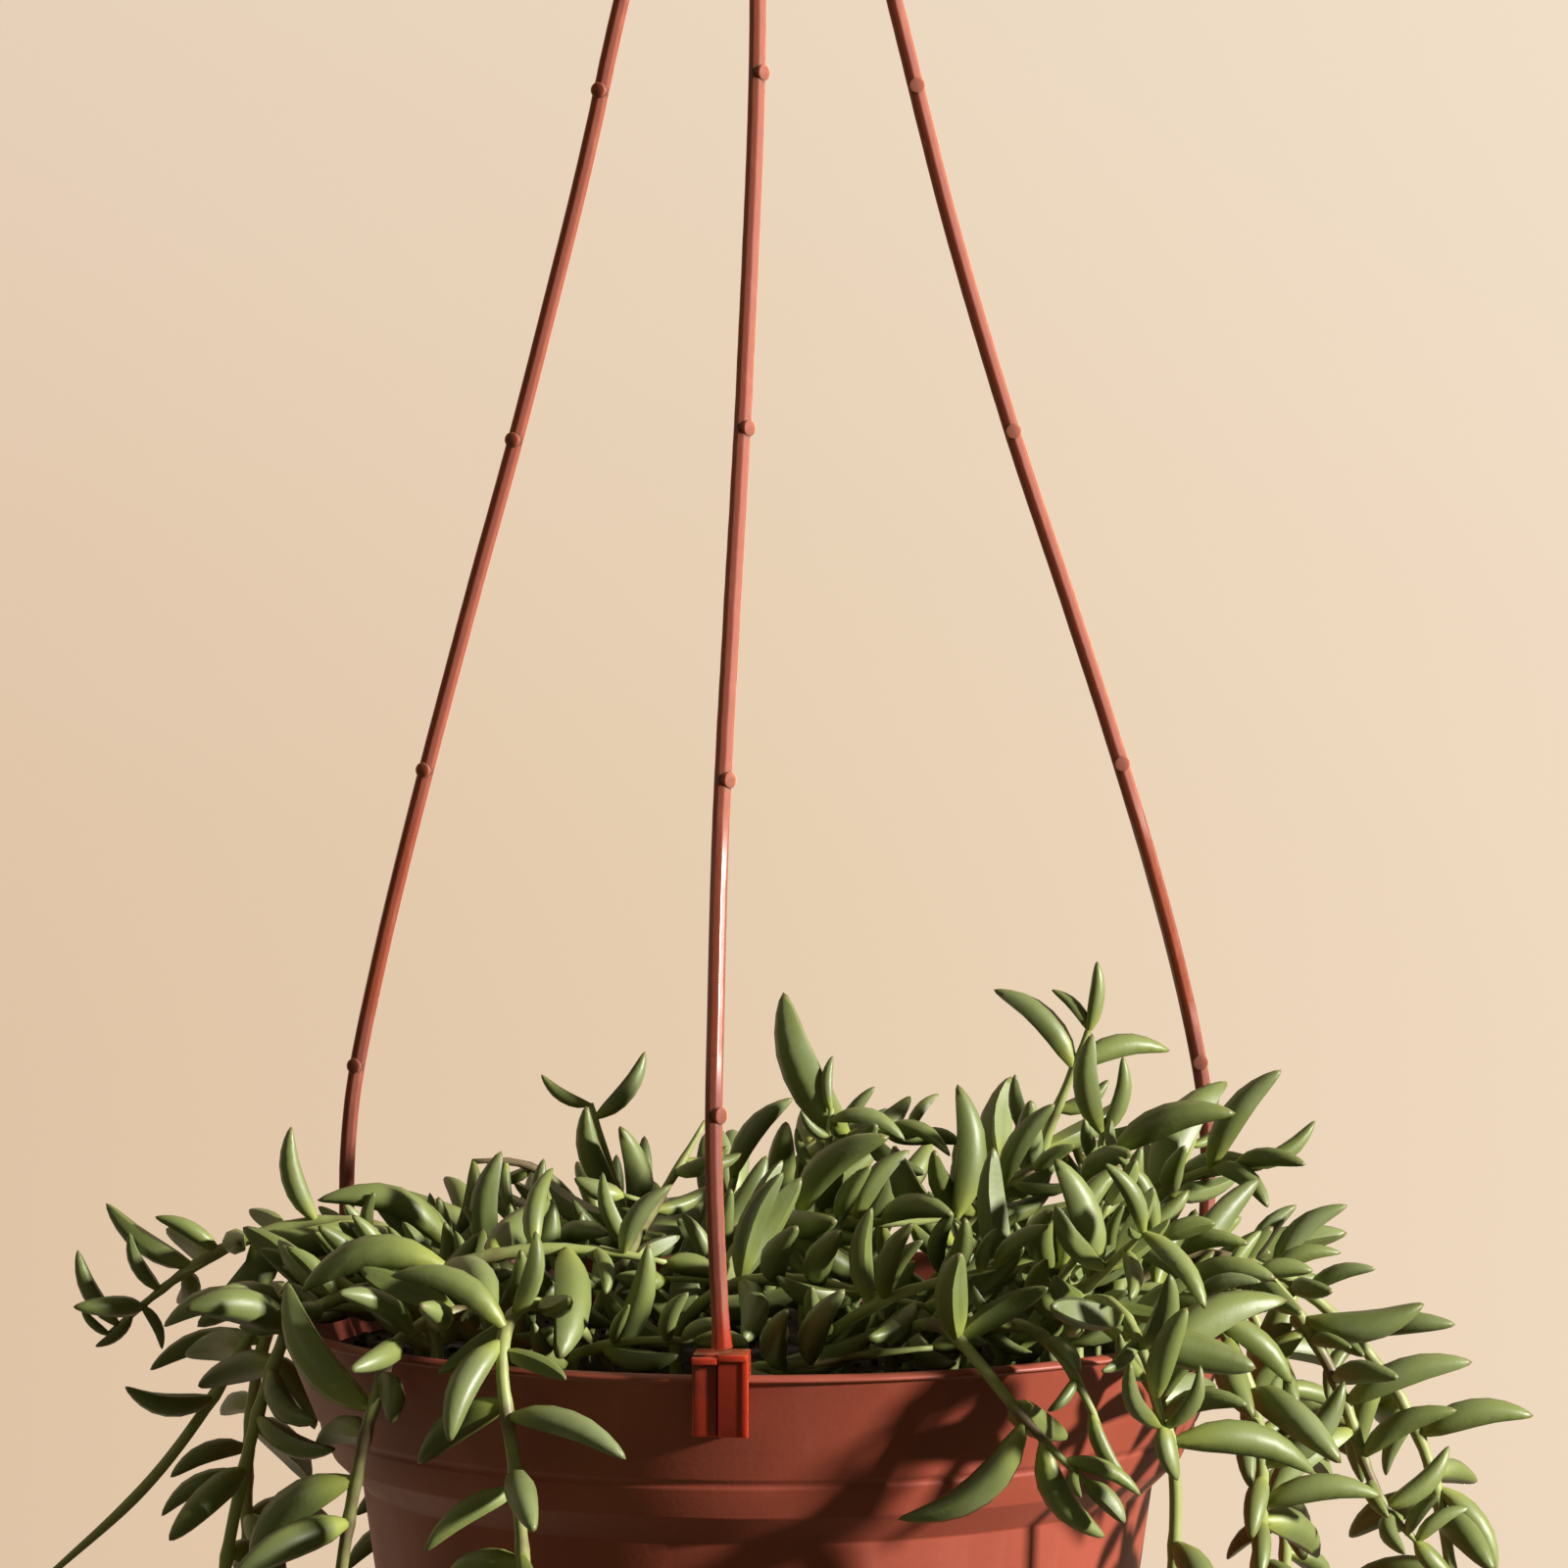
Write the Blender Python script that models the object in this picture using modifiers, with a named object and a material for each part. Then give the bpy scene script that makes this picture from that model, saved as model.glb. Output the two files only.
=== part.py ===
"""A potted string of bananas in a hanging nursery pot, in metres, +Z up.

The origin is the seat of the hook, where it lies on its rail. The pot, its soil, the moulded
hanger and one node for each leafy stem hang below it. Lengths here are in millimetres, with
heights measured from the rim of the pot, and row_place() turns them into the object's own frame.
"""
import math
import random

import bmesh
import bpy
from mathutils import Matrix, Vector

MM = 0.001
GAP = 0.3                    # kept between pieces that touch
MERGE = 0.0001               # metres, well under the finest edge

# The pot, whose rim gives every other size.
RIM_RADIUS = 85.5
RIM_DROP = 345.0             # from the hook's seat down to the rim
POT_HEIGHT = 125.0
POT_WALL = 1.5
LIP_HEIGHT = 1.6
LIP_WIDTH = 2.4
LIP_ROUND = 0.5              # of its top edge
COLLAR_HEIGHT = 27.0
COLLAR_FLARE = 0.41          # how much the collar's radius shrinks for each millimetre down
CURL_DROP = 20.0             # below this the collar curls in
CURL_DEPTH = 1.6
GROOVE_DROP = 19.3
GROOVE_DEPTH = 0.5
GROOVE_HALF = 0.4            # half its width at the bottom
GROOVE_EDGE = 0.45           # width of each of its slanting sides
WALL_SPARE = 0.2             # how much thicker the wall is behind the groove
BODY_TOP_RADIUS = 70.0
BODY_STEP = 0.8              # height of the step from collar to body
BODY_SLOPE = 0.14            # how much the radius shrinks for each millimetre down
FOOT_WIDTH = 7.0
FOOT_ROUND = 1.5
FOOT_DRAFT = 1.0             # slant of the foot ring's inner side
FLOOR_LIFT = 2.0             # the floor stands this far above the foot ring
POT_SIDES = 36
DRAIN_HOLES = 6
DRAIN_RADIUS = 2.5
DRAIN_RING = 34.0
DRAIN_SIDES = 8
DRILL_DEPTH = 20.0

# The soil.
SOIL_DROP = 9.0              # soil surface below the rim, at the wall
SOIL_CROWN = 2.0             # how much higher it is in the middle
SOIL_SHOULDER = 40.0         # out to here it is nearly level
SOIL_SHOULDER_RISE = 1.4     # how much higher than at the wall it is there
SOIL_SIDES = 24
HOLE_DEPTH = 12.0
HOLE_SIDES = 5

# The hanger, moulded in one piece.
LEG_TURNS = (-4.0, 112.0, -120.0)          # degrees round from the front
LEG_RADIUS = 1.25
LEG_STEP = 19.0              # between the points of a leg's solid
LEG_LINE = [(87.3, 2.0), (87.7, 12.0), (87.6, 24.0), (85.7, 39.0), (79.2, 66.0), (70.9, 94.0),
            (60.9, 124.0), (50.7, 153.6), (41.2, 185.0), (32.0, 216.0), (17.6, 264.0), (3.2, 312.0)]
NUB_HEIGHTS = (39.0, 94.0, 153.6, 216.0, 275.0)
NUB_RADIUS = 1.4
NUB_DEPTH = 2.9
NUB_SIDES = 6
CLIP_WIDTH = 9.2
CLIP_DROP = 10.5             # below the rim
CLIP_TOP = 2.9               # above the rim
CLIP_PLATE = 1.6             # thickness
CLIP_LIP = 1.0               # how far its top edge and its right flange stand out
CLIP_LIP_HEIGHT = 1.3
CLIP_TONGUE = 5.0            # how far it reaches down inside the rim
CLIP_FLANGE = 1.2            # width of the flange
CLIP_INSIDE_GAP = 0.75       # between its tongue and the wall
HUB_PROFILE = [(0.0, 318.5), (2.6, 318.0), (4.4, 316.0), (6.2, 313.5), (6.5, 310.0), (5.6, 307.0),
               (0.0, 306.0)]
HUB_SIDES = 12
HOOK_BAR = 2.2               # radius of the bar
HOOK_INSIDE = 9.0            # radius of the space for the rail
HOOK_NECK = [(0.0, 314.0), (0.0, 318.0), (-1.2, 321.5), (-9.0, 327.5)]
HOOK_START = 188.0           # degrees, where the round part starts
HOOK_TURN = 205.0            # degrees of the round part
HOOK_STEPS = 12
HOOK_END = (11.8, 328.0)

# The plant.
STEM_RADIUS = 1.05
STEM_STEP = 2.5              # between the points that a stem is worked out on
STEM_MESH_EVERY = 4          # of those points, the ones that its solid uses
ROOT_HEIGHT = -19.0
ROOT_TOP = 2.0               # a stem is held upright below this
BEND_ROUNDS = 40
BEND_EASE = 0.4              # how far a bend is eased out in each round
STEM_GAP = 2.9               # least distance between the middles of two stems
STEM_WALL_GAP = 1.4          # least distance from a stem to the pot
STEM_HANGER_GAP = 0.7        # least distance from a stem to the hanger
STEM_PUSH = 0.5              # share of an overlap that each of two stems gives way
LEAF_LENGTH = (18.0, 25.0)
LEAF_WIDTH = 0.28            # of its length
LEAF_SIDES = 4
LEAF_RINGS = 4
LEAF_SPACING = 15.8
LEAF_LEAN = (44.0, 72.0)     # degrees away from the stem
LEAF_LIFT = 0.22             # how much it turns up
LEAF_BOW = (0.09, 0.19)
LEAF_STOUT = (0.92, 1.1)     # how much leaves differ in width
LEAF_CURL = 0.8              # how much a leaf bows back along its stem
LEAF_DROOP = 0.5             # and how much it bows up from below
END_ON = 0.3                 # a leaf that shows less of its length than this bows sideways
LEAF_BALLS = 10              # that fill a leaf when its place is tried
NECK_BALLS = 2               # of those, the ones that may touch its own stem
POINT_RADIUS = 0.35          # of the last ball, at the leaf's point
TIP_ZONE = 24.0              # leaves this near the stem's end are young and smaller
TIP_SIZE = 0.45
ROOT_SINK = 0.8              # how far a leaf's root goes past the middle of its stem
LEAF_GAP = 0.55
LEAF_TRIES = 14
TRY_TURN = 0.9               # radians round the stem from one try to the next
TRY_SMALLER = 0.8            # size of a leaf in the later tries
SHOWN_SIZES = (1.0, 0.92, 0.84, 0.76, 0.68)
SPACING_VARIES = (0.75, 1.25)
FIRST_LEAF = -3.0            # height at which a stem's first leaf may stand
SPIRAL = math.radians(137.5)
CELL = 8.0                   # side of a cell of the grid that finds neighbours
SEED = 17

# The line that the leaves of the mat don't rise above, as (x, height).
CANOPY = [(-140, 12), (-80, 15), (-70, 21), (-60, 19), (-48, 18), (-38, 24), (-24, 28), (-8, 33),
          (6, 35), (24, 36), (38, 34), (50, 40), (60, 41), (72, 38), (82, 43), (91, 38), (98, 30),
          (108, 16), (118, 6), (140, 2)]
# Stretches where the old leaves have dropped, as distances along the stem.
BARE = {"stem_left_long": (92.0, 200.0)}

# The balls that keep the plant off the clips.
GUARD_ACROSS = (-3.4, 0.0, 3.4)
GUARD_HEIGHTS = (-9.0, -6.0, -3.0, 0.0, 1.6)
GUARD_OUT = 1.3              # beyond the rim
GUARD_RADIUS = 2.2
TONGUE_GUARD = (78.6, 81.5, 84.0)
TONGUE_GUARD_HEIGHT = 0.6
TONGUE_GUARD_RADIUS = 2.4
LEG_GUARD_TOP = 90.0         # no leaf reaches the legs above this
WALL_MIDDLE = 0.7            # from the pot's outer side to the middle of its wall
WALL_HALF = 1.3              # half the wall, with some to spare for the lip

POT_COLOUR = (0.215, 0.052, 0.030)
HANGER_COLOUR = (0.300, 0.062, 0.030)
SOIL_COLOUR = (0.030, 0.020, 0.014)
LEAF_COLOUR = (0.130, 0.185, 0.062)

# Each stem: the places its middle line passes, from the root in the soil to its growing end,
# and the leaves that stand out on it as (base, tip, bow). A bow is a part of the leaf's length,
# towards the left of its way where it is above zero.
STEMS = {
    "stem_left_sprig": (
        [(-52, 14, -19), (-52, 14, -8), (-55, 15, 6), (-65, 18, 13), (-78, 20, 14), (-93, 22, 10),
         (-101, 23, 6), (-107, 24, 1), (-113, 24, -5), (-117, 24, -8)],
        [((-79, 20, 15), (-84, 18, 30), 0.14), ((-94, 22, 10), (-92, 3, 11), 0.05),
         ((-103, 23, 7), (-118, 26, 15), 0.10), ((-108, 24, 2), (-115, 20, 14), 0.14),
         ((-117, 24, -4), (-123, 24, 7), 0.12), ((-116, 24, -8), (-122, 22, -3), 0.1),
         ((-113, 24, -6), (-119, 20, -10), 0.1)]),
    "stem_left_long": (
        [(-50, -8, -19), (-50, -8, -8), (-54, -9, 4), (-66, -12, 9), (-80, -14, 3), (-88, -15, -5),
         (-96, -15, -16), (-105, -15, -29), (-114, -17, -37), (-121, -18, -42), (-127, -19, -48)],
        [((-86, -16, -8), (-110, -24, -11), 0.18), ((-84, -14, 0), (-104, -8, -2), -0.16),
         ((-74, -12, 6), (-96, -4, 3), 0.2), ((-123, -18, -45), (-116, -20, -66), 0.14),
         ((-127, -19, -48), (-135, -20, -67), 0.12)]),
    "stem_left_mid": (
        [(-46, -24, -19), (-46, -24, -8), (-50, -26, 4), (-62, -30, 10), (-74, -33, 6), (-82, -36, -3),
         (-86, -37, -14), (-87, -37, -24), (-91, -37, -38), (-92, -37, -60), (-90, -36, -85)],
        [((-68, -31, 10), (-83, -20, 14), 0.12)]),
    "stem_left_front": (
        [(-38, -42, -19), (-38, -42, -8), (-42, -46, 4), (-52, -56, 9), (-60, -63, 3), (-64, -65, -7),
         (-66, -64, -18), (-69, -62, -34), (-71, -61, -55), (-71, -60, -72)],
        [((-68, -62, -20), (-85, -56, -35), -0.14), ((-56, -60, 6), (-51, -73, -13), 0.12),
         ((-60, -63, 2), (-79, -53, 13), 0.2)]),
    "stem_front": (
        [(-24, -50, -19), (-24, -50, -8), (-29, -54, 4), (-38, -66, 12), (-43, -76, 8), (-42, -83, 0),
         (-40, -84, -8), (-39, -83, -17), (-38, -81, -27), (-38, -79, -48), (-39, -78, -66)],
        [((-44, -78, 6), (-50, -88, -10), -0.12), ((-40, -84, -6), (-21, -91, -12), 0.12),
         ((-39, -83, -18), (-54, -86, -28), -0.1), ((-38, -81, -30), (-32, -86, -40), -0.12),
         ((-41, -72, 10), (-36, -72, 22), -0.1)]),
    "stem_left_mat": (
        [(-40, 4, -19), (-40, 4, -8), (-42, 3, 3), (-50, 1, 10), (-58, -3, 11), (-68, -5, 12)],
        [((-54, 0, 11), (-77, -6, 20), -0.24), ((-67, -5, 12), (-67, -8, 23), 0.1)]),
    "stem_left_arch": (
        [(-54, -40, -19), (-54, -40, -8), (-55, -41, 2), (-59, -46, 9), (-57, -50, 14), (-48, -50, 15),
         (-36, -50, 17), (-25, -50, 17), (-15, -50, 14)],
        [((-59, -48, 12), (-44, -69, 5), 0.3), ((-31, -50, 17), (-32, -72, 1), 0.05),
         ((-27, -50, 17), (-25, -59, 10), 0.1), ((-36, -50, 17), (-35, -40, 29), 0.1),
         ((-58, -44, 8), (-77, -40, 10), -0.16)]),
    "stem_front_rise": (
        [(-30, -30, -19), (-30, -30, -8), (-29, -30, 0), (-21, -28, 16), (-12, -24, 29), (-9, -22, 35)],
        []),
    "stem_back_rise": (
        [(-20, 22, -19), (-20, 22, -8), (-22, 21, 7), (-26, 20, 21), (-30, 20, 34)],
        [((-30, 20, 34), (-39, 20, 39), 0.14), ((-28, 20, 33), (-20, 22, 43), -0.12),
         ((-29, 20, 32), (-13, 13, 27), 0.2), ((-25, 20, 17), (-31, 14, 34), 0.12),
         ((-22, 21, 9), (-24, 10, 31), -0.1), ((-22, 21, 10), (-16, 12, 27), 0.14)]),
    "stem_left_upright": (
        [(-42, -12, -19), (-42, -12, -8), (-43, -12, 3), (-46, -12, 13), (-51, -13, 19)],
        [((-43, -12, 9), (-45, -13, 29), 0.14), ((-48, -12, 12), (-54, -16, 23), 0.1)]),
    "stem_centre": (
        [(14, 8, -19), (14, 8, -8), (13, 7, 8), (13, 5, 22), (13, 5, 34), (20, 4, 33), (29, 3, 30)],
        [((13, 5, 33), (4, 4, 55), 0.1), ((14, 5, 35), (13, 8, 46), 0.1),
         ((22, 4, 32), (34, -2, 27), 0.2), ((13, 5, 32), (-3, 0, 29), -0.2)]),
    "stem_centre_back": (
        [(-6, 16, -19), (-6, 16, -8), (-7, 15, 6), (-6, 13, 20), (-2, 14, 28)],
        [((-5, 13, 21), (6, 12, 36), 0.14), ((-6, 13, 22), (-5, 9, 35), -0.1)]),
    "stem_centre_front": (
        [(-10, -16, -19), (-10, -16, -8), (-10, -17, 6), (-6, -20, 19), (8, -22, 19), (21, -22, 16),
         (34, -20, 18)],
        [((8, -22, 18), (22, -34, 34), 0.16), ((17, -22, 17), (26, -20, 30), 0.12),
         ((34, -20, 18), (35, -18, 41), -0.12)]),
    "stem_low": (
        [(-14, -38, -19), (-14, -38, -8), (-13, -40, 4), (-6, -46, 12), (6, -49, 12), (18, -53, 9),
         (28, -60, 8)],
        [((17, -52, 9), (3, -62, 13), 0.16), ((-5, -47, 12), (-2, -66, 3), 0.1),
         ((26, -58, 9), (18, -72, 4), 0.1), ((24, -57, 9), (34, -76, 2), -0.1)]),
    "stem_top": (
        [(44, 8, -19), (44, 8, -8), (45, 7, 8), (50, 4, 28), (54, 2, 38), (57, 1, 43), (59, 0, 51)],
        [((59, 0, 51), (60, 0, 62), -0.1), ((59, 0, 49), (63, -4, 59), -0.12),
         ((58, 0, 48), (52, 2, 56), -0.12), ((55, 1, 41), (43, 4, 56), 0.12),
         ((56, 1, 42), (73, 6, 45), 0.16), ((50, 4, 29), (45, 0, 41), 0.12)]),
    "stem_top_front": (
        [(56, -8, -19), (56, -8, -8), (56, -8, 8), (58, -7, 22), (61, -7, 34)],
        [((60, -7, 31), (58, -9, 49), 0.12), ((61, -7, 33), (65, -6, 47), -0.1),
         ((58, -7, 22), (64, -24, 30), 0.14)]),
    "stem_right_mat": (
        [(62, 10, -19), (62, 10, -8), (63, 10, 8), (70, 9, 20), (80, 6, 26), (89, 2, 25)],
        [((80, 6, 26), (92, 1, 42), 0.1), ((86, 4, 26), (99, 6, 32), -0.14),
         ((85, 4, 26), (96, -6, 26), 0.1), ((80, 6, 26), (94, -12, 16), 0.16),
         ((70, 9, 20), (84, 22, 38), 0.12), ((67, 9, 16), (80, 22, 22), 0.12)]),
    "stem_right_long": (
        [(58, -22, -19), (58, -22, -8), (60, -22, 3), (70, -21, 12), (82, -20, 14), (90, -20, 9),
         (94, -20, 0), (100, -21, -8), (103, -22, -15), (104, -22, -23), (106, -22, -32),
         (110, -22, -38), (114, -22, -38)],
        [((94, -20, 0), (115, -23, 3), -0.14), ((101, -21, -9), (115, -27, 8), 0.2),
         ((103, -22, -15), (123, -24, -6), 0.1), ((104, -22, -24), (120, -27, -14), 0.14),
         ((107, -22, -33), (120, -19, -22), -0.14), ((112, -22, -38), (117, -27, -29), 0.1),
         ((114, -22, -38), (123, -21, -32), 0.12), ((70, -21, 12), (84, -30, 15), 0.2)]),
    "stem_right_drape": (
        [(68, -4, -19), (68, -4, -8), (69, -4, 2), (78, -4, 10), (88, -5, 11), (95, -5, 6), (101, -5, -1),
         (112, -5, -12), (119, -5, -28), (122, -4, -45), (124, -4, -62), (124, -4, -74)],
        [((92, -5, 9), (103, -7, 19), 0.16), ((98, -5, 3), (108, -9, 8), 0.14),
         ((118, -5, -22), (136, -7, -18), 0.12), ((120, -5, -32), (130, -7, -46), 0.14),
         ((122, -4, -45), (136, -7, -39), 0.2)]),
    "stem_right_front": (
        [(52, -34, -19), (52, -34, -8), (54, -34, 4), (65, -35, 11), (77, -37, 6), (84, -38, -6),
         (86, -38, -19), (86, -37, -32), (84, -36, -48), (82, -35, -75), (80, -35, -102)],
        [((86, -38, -21), (100, -38, -8), -0.16), ((86, -37, -30), (106, -38, -27), 0.14)]),
    "stem_front_right": (
        [(42, -46, -19), (42, -46, -8), (44, -48, 3), (52, -55, 10), (60, -62, 5), (66, -65, -4),
         (69, -64, -12), (70, -62, -20), (69, -60, -34), (68, -58, -60), (66, -57, -84)],
        [((66, -64, -3), (88, -56, 9), 0.16), ((61, -63, 3), (72, -68, 14), 0.12),
         ((64, -65, -3), (59, -72, 5), 0.12), ((69, -63, -14), (93, -57, -20), 0.16),
         ((68, -64, -9), (80, -74, -6), 0.14)]),
    "stem_front_bunch": (
        [(22, -54, -19), (22, -54, -8), (23, -57, 2), (28, -69, 9), (34, -80, 5), (38, -85, -1),
         (42, -87, -7), (48, -87, -12), (53, -87, -17)],
        [((40, -86, -5), (22, -92, -21), 0.2), ((46, -87, -11), (57, -89, -28), -0.16),
         ((45, -87, -10), (50, -96, -20), -0.1), ((50, -87, -14), (62, -86, -19), 0.12)]),
    "stem_front_mat": (
        [(36, -28, -19), (36, -28, -8), (37, -30, 4), (42, -38, 12), (48, -46, 15), (55, -50, 13)],
        [((48, -46, 15), (48, -60, 24), 0.12), ((40, -36, 10), (36, -50, 16), 0.12),
         ((50, -47, 15), (61, -44, 30), 0.12)]),
    "stem_centre_right": (
        [(30, -6, -19), (30, -6, -8), (31, -7, 6), (35, -10, 17), (43, -12, 24), (48, -16, 26)],
        [((43, -12, 23), (51, -20, 38), 0.1), ((37, -11, 19), (30, -24, 30), 0.12)]),
    "stem_mat_back_left": (
        [(-28, 38, -19), (-28, 38, -8), (-29, 38, 6), (-35, 37, 19), (-43, 36, 25), (-52, 34, 22)], []),
    "stem_mat_back": (
        [(2, 32, -19), (2, 32, -8), (2, 33, 8), (6, 37, 24), (14, 40, 30), (24, 41, 26)], []),
    "stem_mat_back_right": (
        [(34, 26, -19), (34, 26, -8), (35, 26, 8), (42, 29, 22), (51, 32, 28), (60, 34, 24)], []),
    "stem_back_far_left": (
        [(-60, 28, -19), (-60, 28, -8), (-62, 28, 3), (-72, 29, 10), (-83, 29, 5), (-89, 29, -5),
         (-92, 29, -20), (-93, 29, -45), (-91, 28, -72)], []),
    "stem_back_left": (
        [(-42, 48, -19), (-42, 48, -8), (-43, 49, 3), (-50, 57, 11), (-57, 67, 5), (-60, 71, -6),
         (-62, 72, -25), (-62, 71, -60), (-60, 68, -98)], []),
    "stem_back_mid_left": (
        [(-24, 56, -19), (-24, 56, -8), (-25, 58, 3), (-29, 70, 11), (-33, 82, 5), (-35, 87, -5),
         (-36, 90, -25), (-35, 89, -60), (-33, 86, -108)], []),
    "stem_back_middle": (
        [(-4, 52, -19), (-4, 52, -8), (-4, 54, 3), (-5, 68, 12), (-6, 82, 7), (-6, 91, -4),
         (-6, 94, -20), (-6, 93, -48)], []),
    "stem_back_mid_right": (
        [(18, 58, -19), (18, 58, -8), (18, 60, 3), (20, 71, 11), (22, 83, 6), (23, 89, -4),
         (24, 92, -20), (24, 92, -55), (22, 90, -90)], []),
    "stem_back_right": (
        [(40, 48, -19), (40, 48, -8), (41, 50, 3), (46, 60, 11), (51, 71, 6), (54, 76, -4),
         (56, 79, -18), (56, 79, -44)], []),
    "stem_back_far_right": (
        [(62, 26, -19), (62, 26, -8), (63, 25, 3), (74, 21, 11), (85, 18, 5), (91, 18, -6),
         (94, 18, -22), (95, 18, -50), (94, 18, -82)], []),
}


def row_place(point):
    """A place in metres in the object's frame, from millimetres round the middle of the rim."""
    return Vector((point[0], point[1], point[2] - RIM_DROP)) * MM


def turn_frame(degrees):
    """The outward and sideways directions at a turn from the front."""
    angle = math.radians(degrees)
    return Vector((math.sin(angle), -math.cos(angle), 0)), Vector((math.cos(angle), math.sin(angle), 0))


def make_collection(name):
    collection = bpy.data.collections.new(name)
    bpy.context.scene.collection.children.link(collection)
    return collection


def make_material(name, colour, roughness):
    material = bpy.data.materials.new(name)
    material.use_nodes = True
    shader = material.node_tree.nodes["Principled BSDF"]
    shader.inputs["Base Color"].default_value = (*colour, 1)
    shader.inputs["Roughness"].default_value = roughness
    shader.inputs["Metallic"].default_value = 0
    return material


def add_object(name, data, collection):
    obj = bpy.data.objects.new(name, data)
    collection.objects.link(obj)
    return obj


def applied(obj):
    """Replace an object's mesh by its evaluated one and drop its modifiers."""
    bpy.context.view_layer.update()
    graph = bpy.context.evaluated_depsgraph_get()
    mesh = bpy.data.meshes.new_from_object(obj.evaluated_get(graph))
    old = obj.data
    obj.modifiers.clear()
    obj.data = mesh
    bpy.data.meshes.remove(old)
    return obj


def curve_to_mesh(curve_object, collection):
    """A closed mesh object in the place of a curve with filled caps."""
    bpy.context.view_layer.update()
    graph = bpy.context.evaluated_depsgraph_get()
    mesh = bpy.data.meshes.new_from_object(curve_object.evaluated_get(graph))
    shape = bmesh.new()
    shape.from_mesh(mesh)
    bmesh.ops.remove_doubles(shape, verts=shape.verts, dist=MM * 0.002)
    bmesh.ops.recalc_face_normals(shape, faces=shape.faces)
    shape.to_mesh(mesh)
    shape.free()
    name = curve_object.name
    matrix = curve_object.matrix_world.copy()
    curve = curve_object.data
    bpy.data.objects.remove(curve_object)
    bpy.data.curves.remove(curve)
    obj = add_object(name, mesh, collection)
    obj.matrix_world = matrix
    return obj


def tube(name, points, radius, resolution, collection):
    """A round bar of one thickness along points given round the rim."""
    curve = bpy.data.curves.new(name, "CURVE")
    curve.dimensions = "3D"
    curve.bevel_depth = radius * MM
    curve.bevel_resolution = resolution
    curve.use_fill_caps = True
    line = curve.splines.new("POLY")
    line.points.add(len(points) - 1)
    for spot, point in zip(line.points, points):
        spot.co = (*row_place(point), 1)
    return curve_to_mesh(add_object(name, curve, collection), collection)


def turned(name, profile, sides, collection, lift):
    """A shape turned round Z from (radius, height) points, which run from axis to axis."""
    mesh = bpy.data.meshes.new(name)
    shape = bmesh.new()
    spots = [shape.verts.new((r * MM, 0, z * MM)) for r, z in profile]
    for one, two in zip(spots, spots[1:]):
        shape.edges.new((one, two))
    shape.to_mesh(mesh)
    shape.free()
    obj = add_object(name, mesh, collection)
    obj.location.z = lift * MM
    screw = obj.modifiers.new("Turn", "SCREW")
    screw.steps = sides
    screw.render_steps = sides
    screw.use_merge_vertices = True
    screw.merge_threshold = MERGE
    return obj


def outline_solid(name, outline, thickness, degrees, offset, collection):
    """A flat outline of (radius, height) points, thickened sideways at a turn from the front."""
    curve = bpy.data.curves.new(name, "CURVE")
    curve.dimensions = "2D"
    curve.fill_mode = "BOTH"
    curve.extrude = thickness / 2 * MM
    line = curve.splines.new("POLY")
    line.points.add(len(outline) - 1)
    line.use_cyclic_u = True
    for spot, (r, z) in zip(line.points, outline):
        spot.co = (r * MM, z * MM, 0, 1)
    out, sideways = turn_frame(degrees)
    obj = add_object(name, curve, collection)
    frame = Matrix((out, Vector((0, 0, 1)), -sideways)).transposed().to_4x4()
    obj.matrix_world = Matrix.Translation(row_place(sideways * offset)) @ frame
    return curve_to_mesh(obj, collection)


def union_of(name, pieces, base, home):
    """Join a base and a collection of closed pieces into one body, and remove the pieces."""
    base.name = name
    for collection in list(base.users_collection):
        collection.objects.unlink(base)
    home.objects.link(base)
    if pieces.objects:
        join = base.modifiers.new("Join", "BOOLEAN")
        join.operation = "UNION"
        join.operand_type = "COLLECTION"
        join.collection = pieces
        join.solver = "EXACT"
        applied(base)
    for piece in list(pieces.objects):
        mesh = piece.data
        bpy.data.objects.remove(piece)
        bpy.data.meshes.remove(mesh)
    return base


def finish(obj, material):
    obj.data.materials.clear()
    obj.data.materials.append(material)
    obj.data.shade_smooth()
    obj.data.set_sharp_from_angle(angle=math.radians(50))
    return obj


def collar_radius(drop):
    """Outer radius of the flared collar at a drop below the rim, curling in at its foot."""
    flare = RIM_RADIUS - 0.4 - COLLAR_FLARE * drop
    curl = max(0.0, drop - CURL_DROP) / (COLLAR_HEIGHT - CURL_DROP)
    return flare - CURL_DEPTH * curl ** 2


def body_radius(drop):
    return BODY_TOP_RADIUS - BODY_SLOPE * (drop - COLLAR_HEIGHT)


def pot_outer():
    """The pot's outer side from the lip down to the foot."""
    lip = [(RIM_RADIUS - 2 * LIP_ROUND, 0.0), (RIM_RADIUS, -LIP_ROUND),
           (RIM_RADIUS, -LIP_HEIGHT + LIP_ROUND / 2), (collar_radius(LIP_HEIGHT), -LIP_HEIGHT)]
    mouth = GROOVE_HALF + GROOVE_EDGE
    groove = [(collar_radius(GROOVE_DROP + drop) - inset, -GROOVE_DROP - drop)
              for drop, inset in ((-mouth, 0.0), (-GROOVE_HALF, GROOVE_DEPTH),
                                  (GROOVE_HALF, GROOVE_DEPTH), (mouth, 0.0))]
    curl = [(collar_radius(drop), -drop) for drop in ((CURL_DROP + COLLAR_HEIGHT) / 2, COLLAR_HEIGHT)]
    step = [(BODY_TOP_RADIUS, -COLLAR_HEIGHT - BODY_STEP)]
    foot = [(body_radius(POT_HEIGHT - FOOT_ROUND), -POT_HEIGHT + FOOT_ROUND),
            (body_radius(POT_HEIGHT) - FOOT_ROUND, -POT_HEIGHT)]
    return lip + groove + curl + step + foot


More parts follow.
